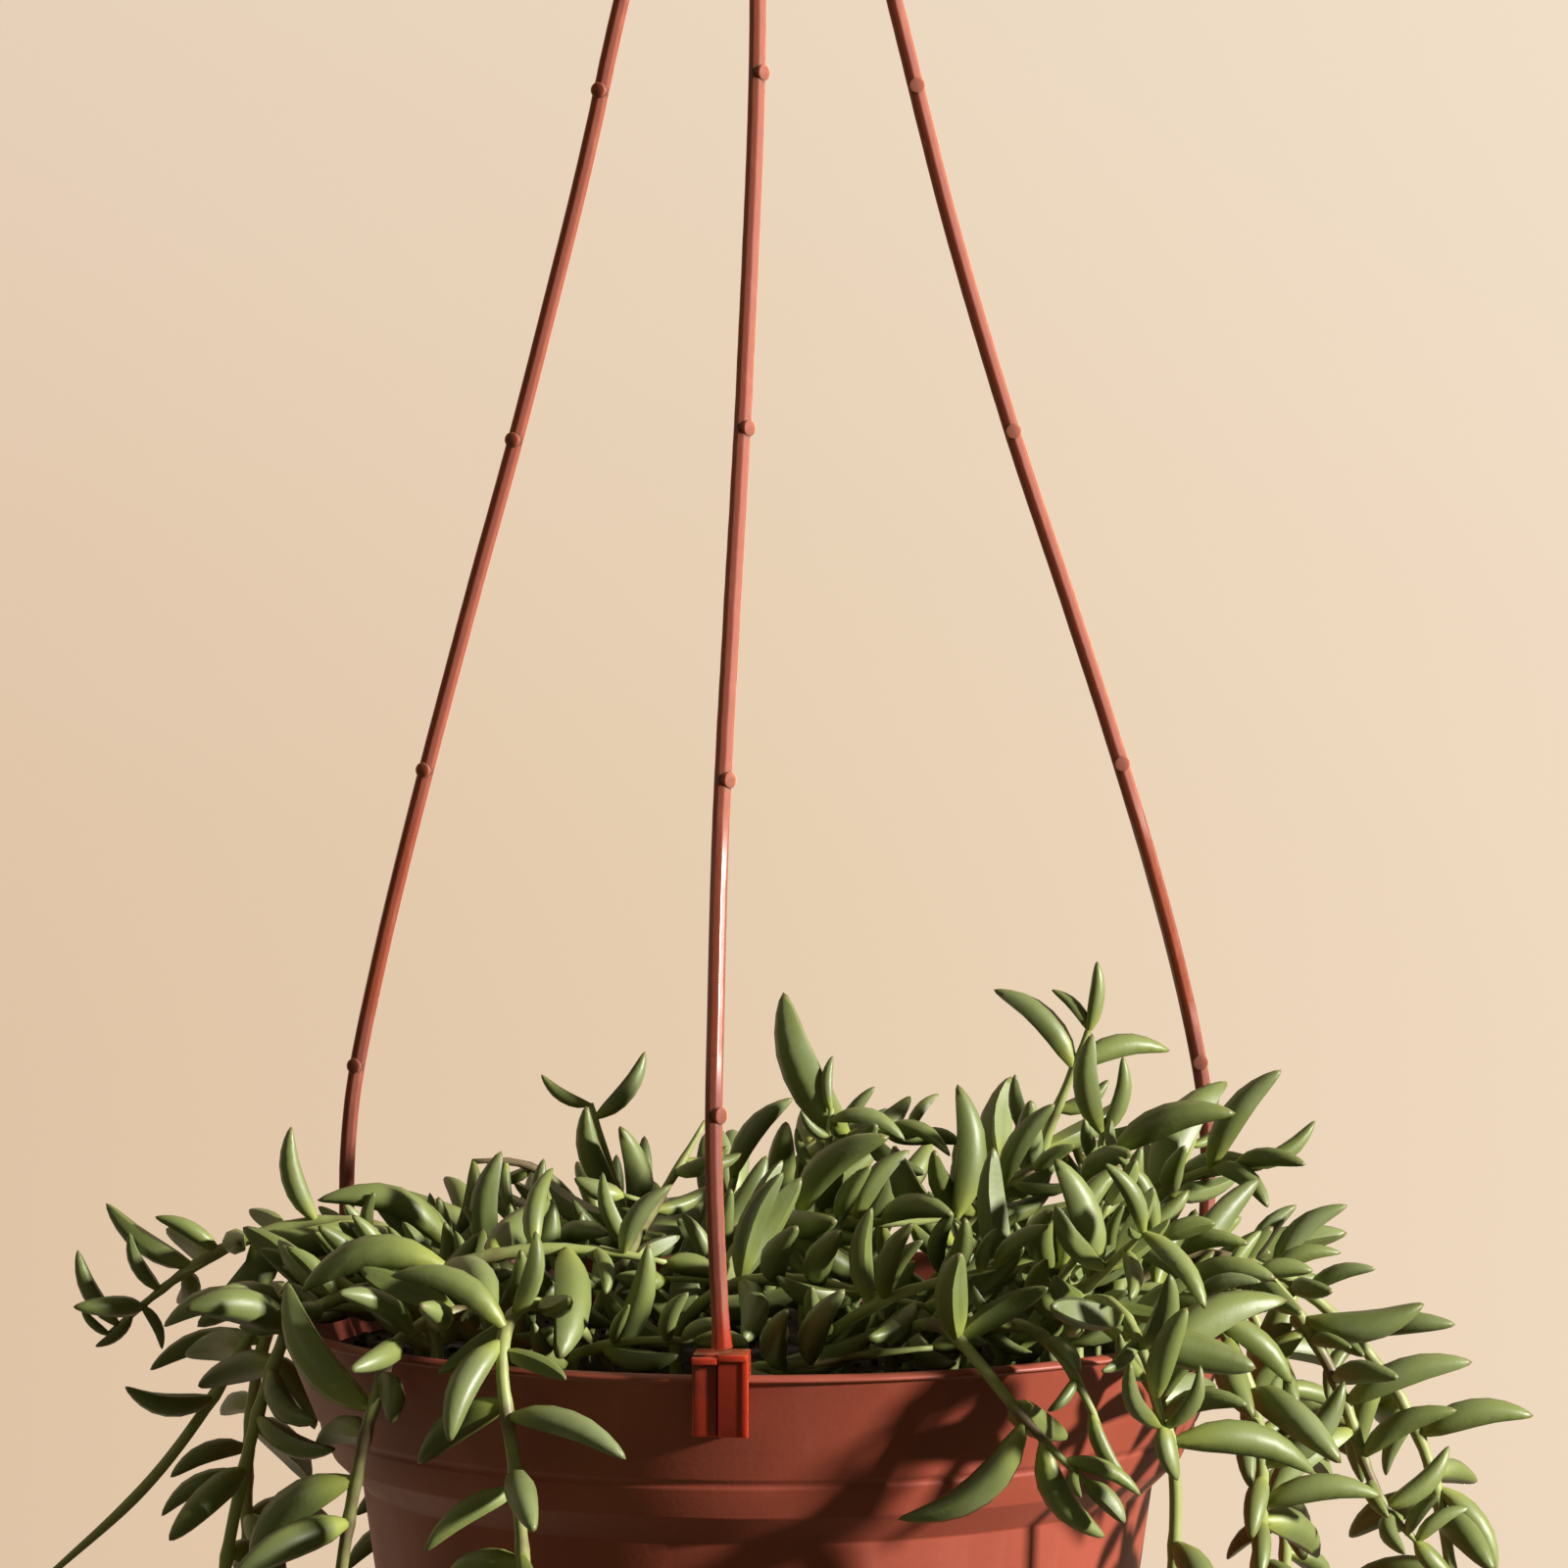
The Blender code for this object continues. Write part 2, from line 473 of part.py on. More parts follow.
def pot_inner():
    """The pot's inner side from the floor up to the lip."""
    floor = -POT_HEIGHT + FLOOR_LIFT + POT_WALL
    return [(0.0, floor), (body_radius(-floor) - POT_WALL, floor),
            (body_radius(COLLAR_HEIGHT) - POT_WALL, -COLLAR_HEIGHT),
            (collar_radius(CURL_DROP) - POT_WALL - WALL_SPARE, -CURL_DROP),
            (collar_radius(LIP_HEIGHT) - POT_WALL, -LIP_HEIGHT), (RIM_RADIUS - LIP_WIDTH, 0.0)]


def make_pot(home, guides):
    """The thin moulded pot, with its foot ring and the drain holes in its floor."""
    under = -POT_HEIGHT + FLOOR_LIFT
    foot = [(body_radius(POT_HEIGHT) - FOOT_WIDTH, -POT_HEIGHT),
            (body_radius(POT_HEIGHT) - FOOT_WIDTH - FOOT_DRAFT, under), (0.0, under)]
    pot = turned("pot", pot_inner() + pot_outer() + foot, POT_SIDES, home, -RIM_DROP)
    drill = bpy.data.meshes.new("drain_drill")
    shape = bmesh.new()
    for turn in range(DRAIN_HOLES):
        spot = Vector((DRAIN_RING, 0, -POT_HEIGHT)) * MM
        spot.rotate(Matrix.Rotation(math.tau * (turn + 0.5) / DRAIN_HOLES, 3, "Z"))
        bmesh.ops.create_cone(shape, cap_ends=True, segments=DRAIN_SIDES, radius1=DRAIN_RADIUS * MM,
                              radius2=DRAIN_RADIUS * MM, depth=DRILL_DEPTH * MM,
                              matrix=Matrix.Translation(spot))
    shape.to_mesh(drill)
    shape.free()
    cutter = add_object("drain_drill", drill, guides)
    cutter.location.z = -RIM_DROP * MM
    as_guide(cutter)
    cut = pot.modifiers.new("Drain", "BOOLEAN")
    cut.operation = "DIFFERENCE"
    cut.object = cutter
    return finish(pot, make_material("pot_plastic", POT_COLOUR, 0.5))


def as_guide(obj):
    obj.hide_render = True
    obj.display_type = "WIRE"


def make_soil(home, guides, roots):
    """The potting soil, which fills the pot, with a plain hole for each stem."""
    floor = -POT_HEIGHT + FLOOR_LIFT + POT_WALL + GAP
    wall = POT_WALL + GAP
    flat_side = math.cos(math.pi / POT_SIDES)
    side = [(collar_radius(SOIL_DROP), -SOIL_DROP), (collar_radius(CURL_DROP) - GAP, -CURL_DROP),
            (body_radius(COLLAR_HEIGHT) - GAP, -COLLAR_HEIGHT), (body_radius(-floor), floor)]
    profile = [(0.0, SOIL_CROWN - SOIL_DROP), (SOIL_SHOULDER, SOIL_SHOULDER_RISE - SOIL_DROP)]
    profile += [(r * flat_side - wall, z) for r, z in side] + [(0.0, floor)]
    soil = turned("soil", profile, SOIL_SIDES, home, -RIM_DROP)
    drill = bpy.data.meshes.new("stem_drill")
    shape = bmesh.new()
    hole = (STEM_RADIUS + GAP) / math.cos(math.pi / HOLE_SIDES)
    for root in roots:
        middle = row_place((root.x, root.y, ROOT_HEIGHT - GAP + HOLE_DEPTH))
        bmesh.ops.create_cone(shape, cap_ends=True, segments=HOLE_SIDES, radius1=hole * MM,
                              radius2=hole * MM, depth=2 * HOLE_DEPTH * MM,
                              matrix=Matrix.Translation(middle))
    shape.to_mesh(drill)
    shape.free()
    cutter = add_object("stem_drill", drill, guides)
    as_guide(cutter)
    cut = soil.modifiers.new("Stem holes", "BOOLEAN")
    cut.operation = "DIFFERENCE"
    cut.object = cutter
    return finish(soil, make_material("soil_earth", SOIL_COLOUR, 0.95))


def leg_points(degrees, step):
    """Even points up one leg of the hanger, from its clip to the hub."""
    line = smooth_route([(r, 0, z) for r, z in LEG_LINE], step)
    out, _ = turn_frame(degrees)
    return [out * point.x + Vector((0, 0, point.z)) for point in line]


def make_clip(degrees, pieces):
    """The clip at the foot of a leg, which hooks over the rim."""
    inner = RIM_RADIUS + GAP
    outer = inner + CLIP_PLATE
    tongue = collar_radius(CLIP_TONGUE) - POT_WALL - CLIP_INSIDE_GAP
    lip_foot = CLIP_TOP - CLIP_LIP_HEIGHT
    bridge = [(inner, -CLIP_DROP), (outer, -CLIP_DROP), (outer, lip_foot),
              (outer + CLIP_LIP, lip_foot), (outer + CLIP_LIP, CLIP_TOP),
              (tongue - CLIP_PLATE, CLIP_TOP), (tongue - CLIP_PLATE, -CLIP_TONGUE),
              (tongue, -CLIP_TONGUE), (tongue, GAP), (inner, GAP)]
    outline_solid("clip_bridge", bridge, CLIP_WIDTH, degrees, 0.0, pieces)
    flange_top = CLIP_TOP - CLIP_LIP_HEIGHT / 2
    flange = [(outer - GAP, -CLIP_DROP), (outer + CLIP_LIP, -CLIP_DROP),
              (outer + CLIP_LIP, flange_top), (outer - GAP, flange_top)]
    outline_solid("clip_flange", flange, CLIP_FLANGE, degrees,
                  (CLIP_WIDTH - CLIP_FLANGE) / 2, pieces)


def make_nub(degrees, height, pieces):
    """One of the round nubs on a leg, a short drum across it."""
    line = leg_points(degrees, STEM_STEP)
    near = min(range(1, len(line) - 1), key=lambda i: abs(line[i].z - height))
    along = (line[near + 1] - line[near - 1]).normalized()
    _, sideways = turn_frame(degrees)
    across = along.cross(sideways).normalized()
    frame = Matrix((sideways, along, across)).transposed()
    mesh = bpy.data.meshes.new("nub")
    shape = bmesh.new()
    bmesh.ops.create_cone(shape, cap_ends=True, segments=NUB_SIDES, radius1=NUB_RADIUS * MM,
                          radius2=NUB_RADIUS * MM, depth=NUB_DEPTH * MM)
    if frame.determinant() < 0:
        frame.col[0] = -frame.col[0]
    bmesh.ops.transform(shape, matrix=Matrix.Translation(row_place(line[near])) @ frame.to_4x4(),
                        verts=shape.verts)
    shape.to_mesh(mesh)
    shape.free()
    add_object("nub", mesh, pieces)


def hook_points():
    """The hook's bar: up from the hub, out to one side and round over the rail to its end."""
    ring = HOOK_INSIDE + HOOK_BAR
    middle = RIM_DROP - HOOK_INSIDE
    neck = [(x, 0, z) for x, z in HOOK_NECK]
    start = math.radians(HOOK_START)
    turn = math.radians(HOOK_TURN)
    arc = []
    for i in range(HOOK_STEPS + 1):
        angle = start - turn * i / HOOK_STEPS
        arc.append((ring * math.cos(angle), 0, middle + ring * math.sin(angle)))
    end = (HOOK_END[0], 0, HOOK_END[1])
    return [Vector(point) for point in neck + arc + [end]]


def make_hanger(home, pieces):
    """Hook, hub, three legs with their nubs, and the clips, moulded in one piece."""
    for degrees in LEG_TURNS:
        tube("leg", leg_points(degrees, LEG_STEP), LEG_RADIUS, 1, pieces)
        make_clip(degrees, pieces)
        for height in NUB_HEIGHTS:
            make_nub(degrees, height, pieces)
    tube("hook", hook_points(), HOOK_BAR, 2, pieces)
    hub = applied(turned("hanger", HUB_PROFILE, HUB_SIDES, home, -RIM_DROP))
    hanger = union_of("hanger", pieces, hub, home)
    return finish(hanger, make_material("hanger_plastic", HANGER_COLOUR, 0.4))


def smooth_route(points, step):
    """Points at even steps along one smooth curve through a route's own points."""
    knots = [Vector(point) for point in points]
    knots = [knots[0] * 2 - knots[1]] + knots + [knots[-1] * 2 - knots[-2]]
    fine = []
    for a, b, c, d in zip(knots, knots[1:], knots[2:], knots[3:]):
        for i in range(24):
            t = i / 24
            fine.append((b * 2 + (c - a) * t + (a * 2 - b * 5 + c * 4 - d) * t ** 2
                         + (b * 3 - a - c * 3 + d) * t ** 3) * 0.5)
    fine.append(knots[-2])
    length = sum((two - one).length for one, two in zip(fine, fine[1:]))
    count = max(2, round(length / step))
    even = [fine[0]]
    walked = 0.0
    for one, two in zip(fine, fine[1:]):
        span = (two - one).length
        while len(even) < count and walked + span >= length * len(even) / count:
            even.append(one.lerp(two, (length * len(even) / count - walked) / span))
        walked += span
    even.append(fine[-1])
    return even


class Neighbours:
    """A grid of balls, each with its owner, that finds what lies near a place."""

    def __init__(self):
        self.cells = {}

    def cell(self, place):
        return tuple(math.floor(value / CELL) for value in place)

    def add(self, place, radius, owner):
        self.cells.setdefault(self.cell(place), []).append((place, radius, owner))

    def near(self, place):
        x, y, z = self.cell(place)
        for i in (x - 1, x, x + 1):
            for j in (y - 1, y, y + 1):
                for k in (z - 1, z, z + 1):
                    yield from self.cells.get((i, j, k), ())

    def is_clear(self, place, radius, skip):
        """Whether a ball stays clear of every ball whose owner isn't skipped."""
        for other, girth, owner in self.near(place):
            if owner != skip and (other - place).length < radius + girth + LEAF_GAP:
                return False
        return True


def wall_gap(place):
    """How far a place lies from the pot's wall, with both measured in its own section."""
    line = [(RIM_RADIUS - LIP_WIDTH / 2, -LIP_HEIGHT / 2),
            (collar_radius(CURL_DROP) - WALL_MIDDLE, -CURL_DROP),
            (collar_radius(COLLAR_HEIGHT) - WALL_MIDDLE, -COLLAR_HEIGHT + BODY_STEP),
            (BODY_TOP_RADIUS - WALL_MIDDLE, -COLLAR_HEIGHT - BODY_STEP),
            (body_radius(POT_HEIGHT) - WALL_MIDDLE, -POT_HEIGHT)]
    r = math.hypot(place.x, place.y)
    least = 1e9
    for (r1, z1), (r2, z2) in zip(line, line[1:]):
        t = ((r - r1) * (r2 - r1) + (place.z - z1) * (z2 - z1)) / ((r2 - r1) ** 2 + (z2 - z1) ** 2)
        t = min(1.0, max(0.0, t))
        least = min(least, math.hypot(r1 + t * (r2 - r1) - r, z1 + t * (z2 - z1) - place.z))
    return least - WALL_HALF


def clear_of_pot(place, radius):
    """Whether a ball lies clear of the pot's wall and above its soil."""
    if wall_gap(place) < radius + LEAF_GAP:
        return False
    inside = math.hypot(place.x, place.y) < RIM_RADIUS
    return not inside or place.z > SOIL_CROWN - SOIL_DROP + radius + LEAF_GAP


def hanger_balls():
    """Balls that stand for the lower legs and the clips when the plant is laid out."""
    balls = []
    for degrees in LEG_TURNS:
        out, sideways = turn_frame(degrees)
        balls += [(point, NUB_RADIUS) for point in leg_points(degrees, STEM_STEP)
                  if point.z < LEG_GUARD_TOP]
        for across in GUARD_ACROSS:
            for height in GUARD_HEIGHTS:
                place = out * (RIM_RADIUS + GUARD_OUT) + sideways * across + Vector((0, 0, height))
                balls.append((place, GUARD_RADIUS))
            for r in TONGUE_GUARD:
                place = out * r + sideways * across + Vector((0, 0, TONGUE_GUARD_HEIGHT))
                balls.append((place, TONGUE_GUARD_RADIUS))
    return balls


def keep_apart(stems):
    """Bend stems clear of each other, of the hanger and of the rim, with their roots held."""
    balls = hanger_balls()
    held = {name: [point.z < ROOT_TOP and math.hypot(point.x, point.y) < BODY_TOP_RADIUS for point in line]
            for name, line in stems.items()}
    for _ in range(BEND_ROUNDS):
        grid = Neighbours()
        for name, line in stems.items():
            for i, point in enumerate(line):
                grid.add(point, i, name)
        for place, radius in balls:
            grid.add(place, radius, None)
        for name, line in stems.items():
            moved = []
            for i, point in enumerate(line):
                push = Vector((0, 0, 0))
                for other, radius, owner in grid.near(point):
                    if owner == name:
                        continue
                    least = STEM_GAP if owner else radius + STEM_RADIUS + STEM_HANGER_GAP
                    away = point - other
                    if 0 < away.length < least:
                        share = STEM_PUSH if owner else 1.0
                        push += away.normalized() * (least - away.length) * share
                tight = STEM_RADIUS + STEM_WALL_GAP - wall_gap(point)
                if tight > 0:
                    out = Vector((point.x, point.y, 0)).normalized()
                    push += (Vector((0, 0, 1)) if point.z > -LIP_HEIGHT else out) * tight
                moved.append(point if held[name][i] else point + push)
            for i in range(1, len(line) - 1):
                if not held[name][i]:
                    line[i] = moved[i].lerp((moved[i - 1] + moved[i + 1]) / 2, BEND_EASE)
    return stems


def girth(t):
    """The thickness of a leaf at a part of its length, against its greatest."""
    return math.sin(math.pi * min(1.0, max(0.0, t)) ** 0.9) ** 0.8 if 0 < t < 1 else 0.0


def leaf_middle(leaf, t):
    """A point on the middle line of a leaf."""
    base, tip, side, bow, _ = leaf
    return base.lerp(tip, t) + side * (4 * bow * (tip - base).length * t * (1 - t))


def leaf_balls(leaf):
    """Balls that fill a leaf from its neck to its point."""
    radius = leaf[4] / 2
    parts = [i / LEAF_BALLS for i in range(1, LEAF_BALLS + 1)]
    return [(leaf_middle(leaf, t), max(POINT_RADIUS, radius * girth(t))) for t in parts]


def leaf_is_clear(leaf, grid, name):
    """Whether a leaf stays clear of all but its own stem, and of that too past its neck."""
    for i, (place, radius) in enumerate(leaf_balls(leaf)):
        own = name if i <= NECK_BALLS else None
        if not clear_of_pot(place, radius) or not grid.is_clear(place, radius, own):
            return False
    return True


def shown_leaf(line, base, tip, bow):
    """A leaf that the plant shows plainly, rooted at the nearest place on its stem."""
    root = min(line, key=lambda point: (point - Vector(base)).length)
    chord = Vector(tip) - root
    side = chord.cross(Vector((0, 1, 0)))
    if side.length < chord.length * END_ON:
        side = Vector((-1, 0, 0))
    side = side.normalized() * (1 if bow > 0 else -1)
    return (root.copy(), Vector(tip), side, abs(bow), chord.length * LEAF_WIDTH)


def grown_leaf(line, at, turn, draw, size):
    """A leaf at a step along a stem, turned round it, bowed back from the growing end."""
    along = (line[min(at + 1, len(line) - 1)] - line[at - 1]).normalized()
    level = along.cross(Vector((0, 0, 1)))
    level = level.normalized() if level.length > 0.05 else Vector((1, 0, 0))
    out = level * math.cos(turn) + level.cross(along).normalized() * math.sin(turn)
    lean = math.radians(draw.uniform(*LEAF_LEAN))
    way = (along * math.cos(lean) + out * math.sin(lean) + Vector((0, 0, LEAF_LIFT))).normalized()
    side = -along * LEAF_CURL - Vector((0, 0, LEAF_DROOP))
    side = (side - way * side.dot(way))
    side = side.normalized() if side.length > 0.05 else level
    length = draw.uniform(*LEAF_LENGTH) * size
    return (line[at].copy(), line[at] + way * length, side, draw.uniform(*LEAF_BOW),
            length * LEAF_WIDTH * draw.uniform(*LEAF_STOUT))


def young(line, at):
    """How much smaller a leaf is near the growing end of its stem."""
    left = (len(line) - 1 - at) * STEM_STEP
    return TIP_SIZE + (1 - TIP_SIZE) * min(1.0, left / TIP_ZONE)


def below_canopy(leaf):
    """Whether a leaf's point stays below the line of the mat's top."""
    tip = leaf[1]
    for (x1, z1), (x2, z2) in zip(CANOPY, CANOPY[1:]):
        if x1 <= tip.x <= x2:
            return tip.z < z1 + (z2 - z1) * (tip.x - x1) / (x2 - x1)
    return False


def place_leaves(stems):
    """The leaves of every stem: those that stand out first, and then the rest by a spiral rule."""
    draw = random.Random(SEED)
    grid = Neighbours()
    for place, radius in hanger_balls():
        grid.add(place, radius, "hanger")
    for name, line in stems.items():
        for point in line:
            grid.add(point, STEM_RADIUS, name)
    leaves = {name: [] for name in stems}

    def keep(name, leaf):
        leaves[name].append(leaf)
        for place, radius in leaf_balls(leaf):
            grid.add(place, radius, name + " leaf")

    for name, line in stems.items():
        for base, tip, bow in STEMS[name][1]:
            leaf = shown_leaf(line, base, tip, bow)
            for part in SHOWN_SIZES:
                trial = (leaf[0], leaf[0].lerp(leaf[1], part), leaf[2], leaf[3], leaf[4] * part)
                if leaf_is_clear(trial, grid, name):
                    keep(name, trial)
                    break
    for name, line in stems.items():
        at = next(i for i, point in enumerate(line) if point.z > FIRST_LEAF)
        turn = draw.uniform(0, math.tau)
        bare_from, bare_to = BARE.get(name, (math.inf, math.inf))
        while at < len(line):
            bare = bare_from < at * STEM_STEP < bare_to
            for attempt in range(0 if bare else LEAF_TRIES):
                size = young(line, at) * (1.0 if attempt < LEAF_TRIES / 2 else TRY_SMALLER)
                leaf = grown_leaf(line, at, turn + attempt * TRY_TURN, draw, size)
                if below_canopy(leaf) and leaf_is_clear(leaf, grid, name):
                    keep(name, leaf)
                    break
            turn += SPIRAL
            at += max(1, round(LEAF_SPACING * draw.uniform(*SPACING_VARIES) / STEM_STEP))
    return leaves


def sunk_leaf(leaf, bar):
    """A leaf with its root drawn back through the middle of its stem's own bar."""
    base, tip, side, bow, width = leaf
    least = 1e9
    for one, two in zip(bar, bar[1:]):
        t = min(1.0, max(0.0, (base - one).dot(two - one) / (two - one).length_squared))
        spot = one.lerp(two, t)
        if (spot - base).length < least:
            least = (spot - base).length
            nearest = spot
    return (nearest - (tip - nearest).normalized() * ROOT_SINK, tip, side, bow, width)


def leaf_solid(leaf, pieces):
    """One leaf: a ball drawn out along its bowed middle line, with its root in the stem."""
    base, tip, side, _, width = leaf
    cross = (tip - base).normalized().cross(side).normalized()
    mesh = bpy.data.meshes.new("leaf")
    shape = bmesh.new()
    bmesh.ops.create_uvsphere(shape, u_segments=LEAF_SIDES, v_segments=LEAF_RINGS, radius=1.0)
    for vert in shape.verts:
        t = (vert.co.z + 1) / 2
        ring = Vector((vert.co.x, vert.co.y, 0))
        ring = ring.normalized() * (width / 2 * girth(t)) if ring.length > 0.01 else ring * 0
        vert.co = row_place(leaf_middle(leaf, t) + side * ring.x + cross * ring.y)
    bmesh.ops.recalc_face_normals(shape, faces=shape.faces)
    shape.to_mesh(mesh)
    shape.free()
    add_object("leaf", mesh, pieces)


def make_plant(home, pieces, stems, leaves):
    """Each leafy stem as one solid, with its leaves fused to it."""
    material = make_material("leaf_green", LEAF_COLOUR, 0.45)
    for name, line in stems.items():
        coarse = line[:-1:STEM_MESH_EVERY] + [line[-1]]
        stem = tube(name, coarse, STEM_RADIUS, 0, home)
        for leaf in leaves[name]:
            leaf_solid(sunk_leaf(leaf, coarse), pieces)
        finish(union_of(name, pieces, stem, home), material)


def main():
    for obj in list(bpy.data.objects):
        bpy.data.objects.remove(obj)
    home = make_collection("string_of_bananas")
    guides = make_collection("cutters")
    pieces = make_collection("pieces_to_join")
    stems = {name: smooth_route(route, STEM_STEP) for name, (route, _) in STEMS.items()}
    stems = keep_apart(stems)
    leaves = place_leaves(stems)
    make_pot(home, guides)
    make_soil(home, guides, [line[0] for line in stems.values()])
    make_hanger(home, pieces)
    make_plant(home, pieces, stems, leaves)
    print("leaves", sum(len(group) for group in leaves.values()))


main()
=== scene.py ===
"""A string of bananas in its hanging nursery pot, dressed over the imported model.

Sizes are in millimetres with heights from the rim of the pot, and in_frame() puts them into the
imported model's frame: metres, +Z up, the seat of the hook at the origin, the front towards -Y.
"""
import math
import random

import bmesh
import bpy
from mathutils import Matrix, Vector, noise


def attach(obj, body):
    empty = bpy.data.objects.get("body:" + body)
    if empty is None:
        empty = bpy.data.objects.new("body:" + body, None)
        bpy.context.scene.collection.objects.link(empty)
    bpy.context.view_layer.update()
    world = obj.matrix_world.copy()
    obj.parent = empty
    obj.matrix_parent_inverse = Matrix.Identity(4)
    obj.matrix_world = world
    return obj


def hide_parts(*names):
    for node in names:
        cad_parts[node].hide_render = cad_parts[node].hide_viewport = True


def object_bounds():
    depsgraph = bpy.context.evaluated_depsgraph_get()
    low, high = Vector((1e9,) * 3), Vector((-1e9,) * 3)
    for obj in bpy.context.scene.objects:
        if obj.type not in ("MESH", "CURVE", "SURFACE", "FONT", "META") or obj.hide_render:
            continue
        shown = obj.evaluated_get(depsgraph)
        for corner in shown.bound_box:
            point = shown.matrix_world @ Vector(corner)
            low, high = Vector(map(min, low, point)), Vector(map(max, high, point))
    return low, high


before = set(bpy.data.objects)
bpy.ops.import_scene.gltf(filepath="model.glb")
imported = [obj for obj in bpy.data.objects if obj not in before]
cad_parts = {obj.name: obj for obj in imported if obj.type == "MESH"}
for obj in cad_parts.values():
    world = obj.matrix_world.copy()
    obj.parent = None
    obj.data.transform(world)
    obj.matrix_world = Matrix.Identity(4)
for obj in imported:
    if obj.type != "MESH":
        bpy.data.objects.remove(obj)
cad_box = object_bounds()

# The pot: a thin nursery pot, injection-moulded in terracotta-coloured plastic, with a lip, a flared
# collar with a pressed groove, a slope in to the tapering body, a foot ring and six drain holes.
# Watering has left it slightly mottled and streaked.
MM = 0.001
RIM_DROP = 345.0  # from the hook's seat down to the rim
RIM_RADIUS = 85.5
POT_HEIGHT = 125.0
POT_WALL = 1.5
LIP_HEIGHT = 1.6  # below the rim, where the collar's wall starts
LIP_DROP = 1.3  # of the lip's lower edge
LIP_WIDTH = 2.4
LIP_STANDS_OUT = 0.4  # beyond the collar
LIP_ROUND = 0.5
COLLAR_HEIGHT = 27.0
COLLAR_FLARE = 0.41  # how much its radius shrinks for each millimetre down
CURL_DROP = 20.0  # below this the collar curls in
CURL_DEPTH = 1.6
SLOPE_DROP = 24.9  # from here the collar slopes in to the body
BODY_DROP = 30.0
GROOVE_DROP = 19.0
GROOVE_DEPTH = 0.28
GROOVE_HALF = 0.25
GROOVE_EDGE = 0.6  # width of each of its sloping sides
CURL_THICKER = 0.2  # the wall, where the collar curls in
BODY_TOP_RADIUS = 70.0
BODY_SLOPE = 0.14
FOOT_WIDTH = 7.0
FOOT_ROUND = 1.5
FOOT_DRAFT = 1.0
FLOOR_LIFT = 2.0
POT_STEPS = 144  # round the pot
POT_EASE = 0.3  # rounding of its moulded corners
EASE_SHARE = 0.4  # at most, of a side that a corner is rounded into
EASE_PARTS = (0, 0.33, 0.67, 1)  # where the points of a rounded corner lie along its curve
MERGE = 0.004  # points nearer than this become one
DRAIN_HOLES = 6
DRAIN_RADIUS = 2.5
DRAIN_RING = 34.0
DRAIN_SIDES = 24
DRILL_DEPTH = 20.0
SHARP = math.radians(38)
TERRACOTTA = (0.252, 0.048, 0.026)
TERRACOTTA_DARK = (0.222, 0.041, 0.022)
TERRACOTTA_WORN = (0.300, 0.084, 0.052)


def in_frame(point):
    """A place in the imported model's frame, from millimetres round the middle of the rim."""
    return Vector((point[0], point[1], point[2] - RIM_DROP)) * MM


class Wire:
    """The output of a shader node. Sums on it add Math nodes, and node() adds any other."""

    def __init__(self, tree, socket):
        self.tree = tree
        self.socket = socket

    def node(self, kind, settings, sockets, output=0):
        made = self.tree.nodes.new(kind)
        for name, value in settings.items():
            setattr(made, name, value)
        for name, value in sockets.items():
            socket = made.inputs[name]
            if isinstance(value, Wire):
                self.tree.links.new(value.socket, socket)
            elif isinstance(value, tuple):
                spare = len(socket.default_value) - len(value)
                socket.default_value = value + (1.0,) * spare
            else:
                socket.default_value = value
        return Wire(self.tree, made.outputs[output])

    def maths(self, operation, *values):
        return self.node("ShaderNodeMath", {"operation": operation}, dict(enumerate(values)))

    def __add__(self, other):
        return self.maths("ADD", self, other)

    def __radd__(self, other):
        return self.maths("ADD", other, self)

    def __sub__(self, other):
        return self.maths("SUBTRACT", self, other)

    def __rsub__(self, other):
        return self.maths("SUBTRACT", other, self)

    def __mul__(self, other):
        return self.maths("MULTIPLY", self, other)

    def __rmul__(self, other):
        return self.maths("MULTIPLY", other, self)

    def rise(self, low, high):
        """A smooth step from 0 at low to 1 at high, or the other way where low is higher."""
        return self.node("ShaderNodeMapRange", {"interpolation_type": "SMOOTHSTEP"},
                         {0: self, 1: low, 2: high, 3: 0.0, 4: 1.0})

    def between(self, one, two):
        """A colour from one, where this is 0, to two, where it is 1."""
        return self.node("ShaderNodeMix", {"data_type": "RGBA"}, {0: self, 6: one, 7: two}, 2)

    def grain(self, scale, detail):
        """Cloudy noise at a place, with some cells to each metre."""
        return self.node("ShaderNodeTexNoise", {},
                         {"Vector": self, "Scale": scale, "Detail": detail})

    def reads(self, attribute):
        """A value that the mesh holds at its points."""
        return self.node("ShaderNodeAttribute", {"attribute_name": attribute}, {}, "Fac")

    def stretched(self, x, y, z):
        return self.node("ShaderNodeVectorMath", {"operation": "MULTIPLY"}, {0: self, 1: (x, y, z)})

    def part(self, axis):
        return self.node("ShaderNodeSeparateXYZ", {}, {0: self}, axis)

    def relief(self, depth):
        """A bump of this height, with its depth in metres."""
        return self.node("ShaderNodeBump", {}, {"Height": self, "Strength": 1.0, "Distance": depth})

    def feeds(self, socket):
        self.tree.links.new(self.socket, socket)


def new_finish(name, **constants):
    """A material with its shader, and the place on the piece that its patterns read."""
    material = bpy.data.materials.new(name)
    material.use_nodes = True
    tree = material.node_tree
    shader = tree.nodes["Principled BSDF"]
    for socket, value in constants.items():
        shader.inputs[socket.replace("_", " ")].default_value = value
    return material, shader.inputs, Wire(tree, tree.nodes.new("ShaderNodeTexCoord").outputs["Object"])


